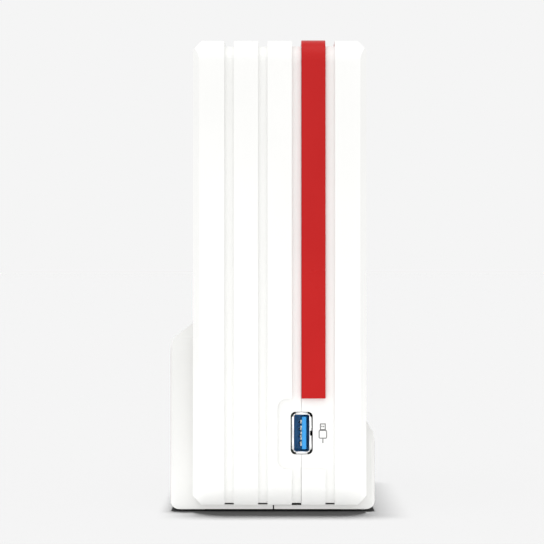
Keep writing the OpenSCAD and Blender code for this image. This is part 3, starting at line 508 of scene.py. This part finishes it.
made = bmesh.new()
corners = [
    made.verts.new((port.x + side * OPENING.x / 2, port_mouth + SETBACK_MM * MM,
                    port.z + level * OPENING.y / 2))
    for side, level in ((-1, -1), (1, -1), (1, 1), (-1, 1))
]
made.faces.new(corners)
round_off(made, corners, CORNER_MM, segments=4, affect="VERTICES")
bmesh.ops.delete(made, geom=made.faces[:], context="FACES_ONLY")
rim = made.edges[:]
straight = [e for e in rim if e.calc_length() > 2 * MM]
tube = bmesh.ops.extrude_edge_only(made, edges=rim)["geom"]
back = [part for part in tube if isinstance(part, bmesh.types.BMVert)]
bmesh.ops.translate(
    made, verts=back, vec=(0, port_end - SHEET_MM * MM - port_mouth - SETBACK_MM * MM, 0))
for edge in straight:
    outward = (edge.verts[0].co + edge.verts[1].co) / 2 - Vector((port.x, edge.verts[0].co.y, port.z))
    outward.normalize()
    for out_mm, forward_mm, narrower in ((0.12, 0.27, 0.99), (0.72, 0.03, 0.94)):
        grown = bmesh.ops.extrude_edge_only(made, edges=[edge])["geom"]
        new = [part for part in grown if isinstance(part, bmesh.types.BMVert)]
        bmesh.ops.translate(made, verts=new, vec=outward * out_mm * MM - Vector((0, forward_mm * MM, 0)))
        about = Matrix.Translation(-(new[0].co + new[1].co) / 2)
        bmesh.ops.scale(made, verts=new, vec=(narrower, 1, narrower), space=about)
        edge = next(e for e in new[0].link_edges if e.other_vert(new[0]) == new[1])
print("port shell:", len(made.faces), "faces of sheet")

# %% [markdown]
# The right lip has a small notch where the strip's two ends were trimmed. Two cuts mark its
# sides, and the piece of lip between them is taken out. Normals are made to point away from
# the opening, so that the thickness grows outwards and the opening keeps its size.

# %% Notch and thickness
NOTCH_MM = 0.85
for side in (-1, 1):
    bmesh.ops.bisect_plane(made, geom=made.verts[:] + made.edges[:] + made.faces[:],
                           plane_co=(0, 0, port.z + side * NOTCH_MM * MM), plane_no=(0, 0, 1))
lip_start = port.x + OPENING.x / 2 + SHEET_MM * MM
notch = [
    f for f in made.faces
    if f.calc_center_median().x > lip_start and abs(f.calc_center_median().z - port.z) < NOTCH_MM * MM
]
bmesh.ops.delete(made, geom=notch, context="FACES")
bmesh.ops.recalc_face_normals(made, faces=made.faces)
wall = max(made.faces, key=lambda f: f.calc_area())
if wall.normal.dot(wall.calc_center_median() - port) < 0:
    bmesh.ops.reverse_faces(made, faces=made.faces)
thicken(finish_piece("usb_shell_folded", made, "housing", "port_steel", ["usb_shell"]), SHEET_MM)

# %% [markdown]
# Nine springs touch the plug: five stiff pads at the tongue's tip and four long springs behind
# them. Each is a strip bent up from the tongue and down again.

# %% Port contacts
made = bmesh.new()
PAD_LENGTH, PAD_RISE, SPRING_RISE = 3 * MM, 0.55 * MM, 0.95 * MM
tongue_face = port.x + 0.1 * MM
for start, end in solids("usb_contacts"):
    centre = (start + end) / 2
    reach = end.y - start.y
    rise = PAD_RISE if reach < PAD_LENGTH else SPRING_RISE
    path = [
        Vector((tongue_face - rise * lift, start.y + reach * part, centre.z))
        for part, lift in ((0, 0.1), (0.2, 0.9), (0.35, 1), (0.6, 0.6), (1, 0.1))
    ]
    add_strip(made, path, Vector((0, 0, end.z - start.z)))
thicken(finish_piece("usb_springs", made, "housing", "pin_nickel", ["usb_contacts"]), 0.22, 0.0)

# %% [markdown]
# ## Printed marks
# The marks are pad-printed: a rubber pad carries grey ink from an etched plate onto the case,
# about 0.03 mm thick. They could be painted in the material, but thin solids stay crisp at any
# distance. All of them are generic pictograms and none is lettering. An outline is a face
# whose corners are rounded, which is inset by the width of the line and emptied.

# %% Tools for marks
INK_MM = 0.03
LINE_MM = 0.36


def add_outline(made, start, end, radius_mm, line_mm=LINE_MM):
    """A rectangle outline on a face square to Y, between two corners."""
    corners = [made.verts.new((x, start.y, z)) for x, z in (
        (start.x, start.z), (end.x, start.z), (end.x, end.z), (start.x, end.z))]
    before = set(made.faces)
    made.faces.new(corners)
    round_off(made, corners, radius_mm, segments=5, affect="VERTICES")
    whole = [f for f in made.faces if f not in before]
    bmesh.ops.inset_region(made, faces=whole, thickness=line_mm * MM, use_boundary=True,
                           use_even_offset=True)
    bmesh.ops.delete(made, geom=whole, context="FACES_ONLY")


def add_bar(made, start, end):
    """A filled rectangle on a face square to Y, between two corners."""
    made.faces.new([made.verts.new((x, start.y, z)) for x, z in (
        (start.x, start.z), (end.x, start.z), (end.x, end.z), (start.x, end.z))])


def add_ring(made, centre, radius_mm, turn=math.tau, first=0.0, line_mm=LINE_MM):
    """A ring, or part of one, on a face square to Y."""
    arm = Matrix.Rotation(first, 3, "Y") @ Vector((0, 0, 1))
    ends = [made.verts.new(centre + arm * (radius_mm + side * line_mm / 2) * MM) for side in (-1, 1)]
    edge = made.edges.new(ends)
    bmesh.ops.spin(made, geom=ends + [edge], cent=centre, axis=(0, 1, 0), angle=turn, steps=28,
                   use_merge=turn == math.tau)


def print_mark(name, made, body, faces_front):
    """Finishes a mark: its faces point away from the case, and the ink has its thickness."""
    for face in made.faces:
        face.normal_update()
    wrong = [f for f in made.faces if (f.normal.y < 0) != faces_front]
    bmesh.ops.reverse_faces(made, faces=wrong)
    return thicken(finish_piece(name, made, body, "ink_grey"), INK_MM)


# %% [markdown]
# Beside the port stands a plug, seen from above: its metal tip with two windows, its grip and
# its lead. It is upright like the port.

# %% Plug mark beside the port
pad_face = low("usb_shell").y - 0.1 * MM
mark = Vector((high("usb_shell").x + 2.2 * MM, pad_face, port.z))
made = bmesh.new()


def on_mark(x_mm, z_mm):
    """A point on the mark, from the middle of its left edge."""
    return mark + Vector((x_mm, 0, z_mm)) * MM


add_outline(made, on_mark(0.45, 1.0), on_mark(2.45, 3.3), 0.15)
add_outline(made, on_mark(0.0, -1.9), on_mark(2.9, 1.1), 0.55)
for x in (0.98, 1.56):
    add_bar(made, on_mark(x, 2.0), on_mark(x + 0.36, 2.5))
add_bar(made, on_mark(1.27, -3.4), on_mark(1.63, -1.85))
print_mark("plug_mark", made, "service_cover", True)

# %% [markdown]
# On the back, each socket and button has its own sign: a broken ring with a stroke for power,
# three linked boxes for the network, a ring round a dot for the direct-current inlet, and an
# arrow turned on itself for reset.

# %% Marks on the back
back_face = high("rear_panel").y
made = bmesh.new()
key = middle("power_button")
sign = Vector((key.x, back_face, high("power_button").z + 5.4 * MM))
add_ring(made, sign, 1.7, turn=math.radians(290), first=math.radians(35))
add_bar(made, sign + Vector((-0.18, 0, 0.4)) * MM, sign + Vector((0.18, 0, 2.3)) * MM)

sign = Vector((middle("reset_plunger").x, back_face, middle("reset_plunger").z + 4.0 * MM))
add_ring(made, sign, 1.1, turn=math.radians(270), first=math.radians(45), line_mm=0.3)

sign = Vector((low("network_jack").x - 5.2 * MM, back_face, middle("network_jack").z))
for x, z in ((0, 1.9), (-1.9, -1.5), (1.9, -1.5)):
    box_at = sign + Vector((x, 0, z)) * MM
    half = Vector((0.9, 0, 0.7)) * MM
    add_outline(made, box_at - half, box_at + half, 0.12, 0.3)
add_bar(made, sign + Vector((-0.15, 0, 0.2)) * MM, sign + Vector((0.15, 0, 1.25)) * MM)
add_bar(made, sign + Vector((-2.05, 0, 0.05)) * MM, sign + Vector((2.05, 0, 0.35)) * MM)
for x in (-2.05, 1.75):
    add_bar(made, sign + Vector((x, 0, -0.85)) * MM, sign + Vector((x + 0.3, 0, 0.1)) * MM)

inlet = middle("power_jack_pin")
sign = Vector((low("network_jack").x - 5.2 * MM, back_face, inlet.z))
add_ring(made, sign, 1.5)
add_ring(made, sign, 0.3, line_mm=0.6)
for x in (-3.3, 1.9):
    add_bar(made, sign + Vector((x, 0, -0.18)) * MM, sign + Vector((x + 1.4, 0, 0.18)) * MM)
print_mark("rear_marks", made, "housing", False)

# %% [markdown]
# A rating label is a rectangle of white polyester film. It carries no lettering here, only
# its printed border.

# %% Blank rating label
LABEL_SIZE = Vector((24, 0.08, 15)) * MM
label_start = Vector((low("rear_panel").x + 5 * MM, back_face, middle("rear_panel").z - 20 * MM))
label_end = label_start + LABEL_SIZE
made = bmesh.new()
add_block(made, label_start - Vector((0, 0.02 * MM, 0)), label_end)
finish_piece("rating_label", made, "housing", "button_white")
made = bmesh.new()
inset = Vector((0.8, 0, 0.8)) * MM
border_start = Vector((label_start.x, label_end.y, label_start.z)) + inset
add_outline(made, border_start, label_end - inset, 0.8, 0.25)
for step in (0.35, 0.65):
    height = label_start.z + (label_end.z - label_start.z) * step
    add_bar(made, Vector((border_start.x + 1.5 * MM, label_end.y, height)),
            Vector((label_end.x - 2.3 * MM, label_end.y, height + 0.2 * MM)))
print_mark("label_border", made, "housing", False)

# %% [markdown]
# ## The fan
# The rotor is one black moulding: a cup over the motor with seven blades. A blade is a thin
# plate whose chord leans forward and curves, so that it scoops air instead of cutting it. A
# flat plate would work in a test and look wrong. Each blade starts as a grid, whose points
# are swept along an arc about the axle and bowed, and it is turned about the axle for the
# rest.

# %% Fan rotor
BLADES = 7
BLADE_MM = 0.9       # thickness
BOW_MM = 0.9         # how far the middle of a blade is bowed back
SWEEP = 21           # degrees from the middle of a blade to its edge
TWIST = 9            # degrees that its tip leads its root
hub_radius = 12 * MM
tip_radius = (high("fan_rotor").x - low("fan_rotor").x) / 2
axle = middle("fan_rotor")
cup_start = low("fan_rotor").y
cup_end = high("fan_rotor").y
made = bmesh.new()
blade = bmesh.ops.create_grid(made, x_segments=8, y_segments=5, size=0.5)["verts"]
for vert in blade:
    chord = 2 * vert.co.x
    span = vert.co.y + 0.5
    radius = hub_radius - 0.3 * MM + (tip_radius - hub_radius) * span
    turn = math.radians(SWEEP * chord + TWIST * span)
    bow = BOW_MM * MM * (1 - chord * chord)
    height = axle.y + chord * (4.6 - 0.7 * span) * MM - bow
    vert.co = Vector((axle.x + radius * math.sin(turn), height, axle.z + radius * math.cos(turn)))
one_blade = len(made.faces)
for number in range(1, BLADES):
    copy = bmesh.ops.duplicate(made, geom=made.faces[:one_blade])["geom"]
    verts = [part for part in copy if isinstance(part, bmesh.types.BMVert)]
    bmesh.ops.rotate(made, verts=verts, cent=axle,
                     matrix=Matrix.Rotation(math.tau * number / BLADES, 3, "Y"))
bmesh.ops.solidify(made, geom=made.faces[:], thickness=BLADE_MM * MM)
bmesh.ops.recalc_face_normals(made, faces=made.faces)
depth = (cup_end - cup_start) / MM
add_turned(made, [
    (0, 0.5), (4.5, 0.5), (4.8, 0.2), (5.4, 0), (10.6, 0), (11.5, 0.3), (12, 1.2), (12, depth - 0.2),
    (11.9, depth), (10.9, depth), (10.8, depth - 0.2), (10.8, 1.9), (10.2, 1.5), (0, 1.5)],
    Vector((axle.x, cup_start, axle.z)), Vector((0, 1, 0)), 64)
finish_piece("fan_rotor_moulded", made, "fan_blades", "fan_black", ["fan_rotor"])

# %% [markdown]
# The fan's lead is three thin wires into a nylon plug on the top edge of the board.

# %% Fan plug and wires
WIRE_MM = 0.55       # radius
WIRE_GAP_MM = 1.7    # from wire to wire
plug_low = low("fan_lead")
plug_high = high("fan_lead")
made = bmesh.new()
add_block(made, plug_low, Vector((plug_high.x, plug_high.y, plug_high.z - 2.4 * MM)))
round_off(made, made.edges[:], 0.25)
add_block(made, Vector((plug_high.x, middle("fan_lead").y - 1.2 * MM, plug_low.z + 1.2 * MM)),
          Vector((plug_high.x + 0.5 * MM, middle("fan_lead").y + 1.2 * MM, plug_high.z - 3.4 * MM)))
finish_piece("fan_plug", made, "housing", "pin_white", ["fan_lead"])
made = bmesh.new()
for step in (-1, 0, 1):
    foot = Vector((plug_low.x + 3.4 * MM, middle("fan_lead").y + step * WIRE_GAP_MM * MM,
                   plug_high.z - 2.6 * MM))
    add_turned(made, [(0, 0), (WIRE_MM, 0), (WIRE_MM, 2.9), (0, 2.9)], foot, Vector((0, 0, 1)), 12)
finish_piece("fan_wires", made, "housing", "cable_black")

# %% [markdown]
# ## Parts on the board
# Electrolytic capacitors are aluminium cans in a shrunk plastic sleeve. A bead is rolled in
# near the seal at the board, and the top is scored with a cross that lets pressure out. They
# are turned, since a lathe gives the bead and the rolled shoulder from one outline.

# %% Capacitors
UP = Vector((1, 0, 0))     # away from the board
sleeves = bmesh.new()
tops = bmesh.new()
for start, end in solids("capacitors"):
    foot = Vector((start.x, (start.y + end.y) / 2, (start.z + end.z) / 2))
    radius = (end.y - start.y) / 2 / MM
    tall = (end.x - start.x) / MM
    shoulder = radius - 0.9
    add_turned(sleeves, [
        (0, 0), (radius - 0.5, 0), (radius, 0.5), (radius, 1.1), (radius - 0.3, 1.5), (radius, 1.9),
        (radius, tall - 0.7), (radius - 0.3, tall - 0.15), (shoulder, tall), (shoulder, tall - 0.3),
        (0, tall - 0.3)], foot, UP, 32)
    add_turned(tops, [
        (0, tall - 0.4), (shoulder + 0.05, tall - 0.4), (shoulder + 0.05, tall - 0.12),
        (shoulder - 0.2, tall - 0.06), (0, tall - 0.06)], foot, UP, 32)
    for width, length in ((0.25, shoulder * 1.3), (shoulder * 1.3, 0.25)):
        half = Vector((0, width / 2, length / 2)) * MM
        add_block(tops, foot + UP * (tall - 0.1) * MM - half, foot + UP * (tall - 0.02) * MM + half)
finish_piece("capacitor_sleeves", sleeves, "housing", "can_sleeve", ["capacitors"])
finish_piece("capacitor_tops", tops, "housing", "sink_aluminium")

# %% [markdown]
# The coin cell is a nickel-plated cup crimped over a smaller lid, held by a sprung clip. The
# step at the crimp is what makes it read as a cell and not as a coin.

# %% Coin cell and clip
cell_low = low("clock_battery")
cell_high = high("clock_battery")
cell = middle("clock_battery")
made = bmesh.new()
add_turned(made, [
    (0, 0.2), (8.3, 0.2), (8.6, 1.2), (9.4, 1.2), (9.9, 1.5), (10, 2.0), (10, 3.9), (9.8, 4.3), (9.3, 4.4),
    (0, 4.4)], Vector((cell_low.x, cell.y, cell.z)), UP, 64)
finish_piece("coin_cell", made, "housing", "cell_steel", ["clock_battery"])
CLIP_REACH = 10.7 * MM     # from the middle of the cell to the clip's upright
CLIP_WIDTH = 4 * MM
made = bmesh.new()
for side in (-1, 1):
    edge_z = cell.z + side * CLIP_REACH
    path = [
        Vector((cell_low.x + 0.1 * MM, cell.y, edge_z + side * 1.6 * MM)),
        Vector((cell_low.x + 0.1 * MM, cell.y, edge_z)),
        Vector((cell_high.x + 0.2 * MM, cell.y, edge_z)),
        Vector((cell_high.x + 0.45 * MM, cell.y, edge_z - side * 0.6 * MM)),
        Vector((cell_high.x + 0.15 * MM, cell.y, edge_z - side * 4.5 * MM)),
    ]
    add_strip(made, path, Vector((0, CLIP_WIDTH, 0)))
bmesh.ops.recalc_face_normals(made, faces=made.faces)
thicken(finish_piece("cell_clip", made, "housing", "pin_nickel"), 0.25, 0.0)

# %% [markdown]
# Controller chips stand on gull-wing legs along all four sides: out of the body, down to the
# board, and out again. One strip per leg is enough at this size.

# %% Chip legs
LEG_PITCH_MM = 0.8
LEG_WIDTH_MM = 0.34
made = bmesh.new()
for start, end in solids("controller_chips"):
    centre = (start + end) / 2
    for turn in range(4):
        spin = Matrix.Rotation(turn * math.pi / 2, 3, "X")
        half = (end - start) / 2
        reach, length = (half.y, half.z) if turn % 2 == 0 else (half.z, half.y)
        count = int(2 * (length - 0.5 * MM) / (LEG_PITCH_MM * MM))
        for number in range(count):
            along = (number - (count - 1) / 2) * LEG_PITCH_MM * MM
            path = [
                centre + spin @ Vector((height * MM + start.x - centre.x, reach + out * MM, along))
                for height, out in ((0.5, -0.1), (0.5, 0.35), (0.08, 0.55), (0.08, 1.0))
            ]
            add_strip(made, path, spin @ Vector((0, 0, LEG_WIDTH_MM * MM)))
thicken(finish_piece("chip_legs", made, "housing", "jack_metal"), 0.12, 0.0)

# %% [markdown]
# Between the large parts sit rows of tiny resistors and ceramic capacitors, each a block with
# two tinned ends. They are laid on a grid with a little scatter, wherever the board is free.
# The scatter uses a fixed seed, so the board is the same on every run.

# %% Small parts
ROW_MM, COLUMN_MM = 3.6, 4.4       # the grid that the parts are laid on
CLEAR_MM = 2.4                     # kept free round the large parts
SCATTER_MM = 0.4
HEADER_COLUMNS, HEADER_ROWS = 5, 2
PIN_PITCH_MM = 2.54
board_face = high("main_board").x
header_start = Vector((board_face, -12 * MM, 82 * MM))
header_size = Vector((2.5, HEADER_COLUMNS * PIN_PITCH_MM, HEADER_ROWS * PIN_PITCH_MM)) * MM
header_end = header_start + header_size
taken = [(header_start, header_end)]
for node in ("heatsink", "memory_chips", "controller_chips", "power_inductors", "capacitors",
             "clock_battery", "buzzer", "status_leds", "network_jack", "power_jack", "power_switch",
             "reset_switch", "board_screws", "fan_lead", "usb_shell"):
    taken.extend(solids(node))

scatter = random.Random(11)
bodies = {"chip_black": bmesh.new(), "ceramic_tan": bmesh.new()}
ends = bmesh.new()
rows = int((high("main_board").z - low("main_board").z - 5 * MM) / (ROW_MM * MM))
columns = int((high("main_board").y - low("main_board").y - 8 * MM) / (COLUMN_MM * MM))
placed = 0
for row in range(rows):
    for column in range(columns):
        shift = Vector((0, scatter.uniform(-SCATTER_MM, SCATTER_MM), 0)) * MM
        spot = Vector((board_face, low("main_board").y, low("main_board").z)) + shift
        spot += Vector((0, 6 + column * COLUMN_MM, 4 + row * ROW_MM)) * MM
        slot = scatter.choice(("chip_black", "ceramic_tan"))
        upright = scatter.random() < 0.35
        skipped = scatter.random() < 0.5
        near = CLEAR_MM * MM
        if skipped or any(a.y - near < spot.y < b.y + near and a.z - near < spot.z < b.z + near
                          for a, b in taken):
            continue
        long, wide = (Vector((0, 0, 1)), Vector((0, 1, 0))) if upright else (
            Vector((0, 1, 0)), Vector((0, 0, 1)))
        half = (long * 0.5 + wide * 0.42) * MM
        add_block(bodies[slot], spot - half, spot + half + UP * 0.48 * MM)
        for side in (-1, 1):
            middle_of_end = spot + long * side * 0.72 * MM
            half = (long * 0.24 + wide * 0.45) * MM
            add_block(ends, middle_of_end - half, middle_of_end + half + UP * 0.52 * MM)
        placed += 1
for slot, made in bodies.items():
    finish_piece("small_parts_" + slot.split("_")[1], made, "housing", slot)
finish_piece("small_parts_ends", ends, "housing", "jack_metal")
print("small parts:", placed)

# %% [markdown]
# A service header stands on the top edge: two rows of gilt pins in a black strip, each cell of
# the strip with its corners cut.

# %% Service header
strip = bmesh.new()
pins = bmesh.new()
for column in range(HEADER_COLUMNS):
    for row in range(HEADER_ROWS):
        corner = header_start + Vector((0, column * PIN_PITCH_MM, row * PIN_PITCH_MM)) * MM
        add_block(strip, corner, corner + Vector((2.5, PIN_PITCH_MM, PIN_PITCH_MM)) * MM)
        pin = corner + Vector((0, PIN_PITCH_MM / 2, PIN_PITCH_MM / 2)) * MM
        half = Vector((0, 0.32, 0.32)) * MM
        add_block(pins, pin - half, pin + half + UP * 8.5 * MM)
upright_edges = [e for e in strip.edges if abs(e.verts[0].co.x - e.verts[1].co.x) > 1 * MM]
round_off(strip, upright_edges, 0.45, segments=1)
tip_edges = [e for e in pins.edges if all(v.co.x > header_start.x + 8 * MM for v in e.verts)]
round_off(pins, tip_edges, 0.18, segments=1)
finish_piece("header_strip", strip, "housing", "socket_black")
finish_piece("header_pins", pins, "housing", "contact_gold")

# %% [markdown]
# The network socket has two small windows for its lamps at the corners of its mouth, above
# the latch.

# %% Network lamps
LAMP_OFF_MIDDLE = 5.4 * MM
mouth = high("network_jack")
made = bmesh.new()
for side in (-1, 1):
    corner_z = middle("network_jack").z + side * LAMP_OFF_MIDDLE
    add_block(made, Vector((mouth.x - 3.0 * MM, mouth.y - 0.6 * MM, corner_z - 1.5 * MM)),
              Vector((mouth.x - 0.9 * MM, mouth.y + 0.05 * MM, corner_z + 1.5 * MM)))
round_off(made, made.edges[:], 0.12)
finish_piece("network_lamps", made, "housing", "led_lens")

# %% [markdown]
# ## Floor and background
# The box stands on a pale floor that meets a background of the same tone, so no horizon
# shows. A flat sheet is enough, if it reaches far away. The floor's paint is darker than it
# looks: a light of its own brings it up to the background's tone, and where the box blocks
# that light its shadow is deep, as it is right under a heavy object.

# %% Floor
BACKGROUND = "f5f5f5"
FLOOR_PAINT = 0.08


def stage_floor(reach):
    """A flat floor that reaches the horizon."""
    made = bmesh.new()
    bmesh.ops.create_grid(made, x_segments=1, y_segments=1, size=reach)
    mesh = bpy.data.meshes.new("floor")
    made.to_mesh(mesh)
    made.free()
    floor = bpy.data.objects.new("floor", mesh)
    material, tree, shader = surface("painted studio floor", Roughness=1.0, Specular_IOR_Level=0.0)
    shader.inputs["Base Color"].default_value = (FLOOR_PAINT, FLOOR_PAINT, FLOOR_PAINT, 1)
    mesh.materials.append(material)
    return floor


stage_only = bpy.data.collections.new("stage")
bpy.context.scene.collection.children.link(stage_only)
FLOOR_REACH = 200.0      # metres each way, so that its end is lost in the distance
stage_only.objects.link(stage_floor(FLOOR_REACH))
print("floor of", 2 * FLOOR_REACH, "m in the tone", BACKGROUND)

# %% [markdown]
# ## Camera
# The view is square on to the ribbed front, with the camera level at half the height and
# 1.2 m away, where a long lens keeps the sides upright and some floor still shows beside them.

# %% Camera
VIEW_WIDTH = 184.8 * MM      # what the view spans at the front of the case
VIEW_MIDDLE_X = -0.2 * MM
VIEW_MIDDLE_Z = 81.9 * MM
SENSOR_MM = 36
CAMERA_AWAY = 1.2            # metres from the front of the case
camera_data = bpy.data.cameras.new("camera")
camera_data.sensor_width = SENSOR_MM
camera_data.lens = SENSOR_MM * CAMERA_AWAY / VIEW_WIDTH
camera = bpy.data.objects.new("camera", camera_data)
camera.location = (VIEW_MIDDLE_X, case_front - CAMERA_AWAY, VIEW_MIDDLE_Z)
camera.rotation_euler = (math.pi / 2, 0, 0)
bpy.context.scene.collection.objects.link(camera)
bpy.context.scene.camera = camera
print("lens, mm:", round(camera_data.lens, 1))

# %% [markdown]
# ## Light
# A white box in a white room is lit from everywhere, and its shape shows through the soft
# dark of its corners. So the world gives most of the light, a broad lamp in front lifts the
# ribbed face to almost pure white, and a lamp for the floor alone stands high behind the box
# and throws its shadow forward. Light linking is what limits a lamp to chosen objects. The
# floor in that shadow would leave the foot of the box dull, so a glowing sheet lies before the
# stand, like the white paper of a still-life table, and the camera doesn't see it.

# %% Light
def sunlight(name, strength, softness, elevation, azimuth):
    """A lamp at a great distance. Azimuth 0 shines from the front, 180 from behind."""
    data = bpy.data.lights.new(name, "SUN")
    data.energy = strength
    data.angle = math.radians(softness)
    lamp = bpy.data.objects.new(name, data)
    lamp.rotation_euler = (math.radians(90 - elevation), 0, math.radians(azimuth))
    bpy.context.scene.collection.objects.link(lamp)
    return lamp


def on_floor(strength, elevation):
    """How much of a lamp's strength reaches a level floor."""
    return strength * math.sin(math.radians(elevation))


FRONT, FRONT_SOFT, FRONT_HEIGHT = 0.42, 60, 12
TOP, TOP_SOFT, TOP_HEIGHT, TOP_SIDE = 0.7, 50, 66, -20
FLOOR_SOFT, FLOOR_HEIGHT, FLOOR_SIDE = 10, 81, 184
sunlight("front_fill", FRONT, FRONT_SOFT, FRONT_HEIGHT, 0)
sunlight("top_light", TOP, TOP_SOFT, TOP_HEIGHT, TOP_SIDE)
background = linear(BACKGROUND)[0]
floor_need = (background / FLOOR_PAINT - background) * math.pi
floor_need -= on_floor(FRONT, FRONT_HEIGHT) + on_floor(TOP, TOP_HEIGHT)
floor_power = floor_need / on_floor(1, FLOOR_HEIGHT)
floor_sun = sunlight("floor_sun", floor_power, FLOOR_SOFT, FLOOR_HEIGHT, FLOOR_SIDE)
floor_sun.light_linking.receiver_collection = stage_only
print("floor lamp:", round(floor_sun.data.energy, 2))

CARD_MARGIN = 60 * MM    # both sides together
CARD_DEPTH = 90 * MM
CARD_RISE = 0.3 * MM
CARD_GLOW = 0.75         # brightness against the background's
card_width = high("right_stand").x - low("left_stand").x + CARD_MARGIN
card_data = bpy.data.lights.new("floor_card", "AREA")
card_data.shape = "RECTANGLE"
card_data.size = card_width
card_data.size_y = CARD_DEPTH
card_data.energy = CARD_GLOW * math.pi * card_width * CARD_DEPTH
card = bpy.data.objects.new("floor_card", card_data)
card.location = (0, low("left_stand").y - CARD_DEPTH / 2, CARD_RISE)
card.rotation_euler = (math.pi, 0, 0)
card.visible_camera = False
bpy.context.scene.collection.objects.link(card)

world = bpy.data.worlds.new("studio")
world.use_nodes = True
sky = world.node_tree.nodes["Background"]
sky.inputs["Color"].default_value = linear(BACKGROUND)
sky.inputs["Strength"].default_value = 1.0
bpy.context.scene.world = world
bpy.context.scene.view_settings.view_transform = "Standard"
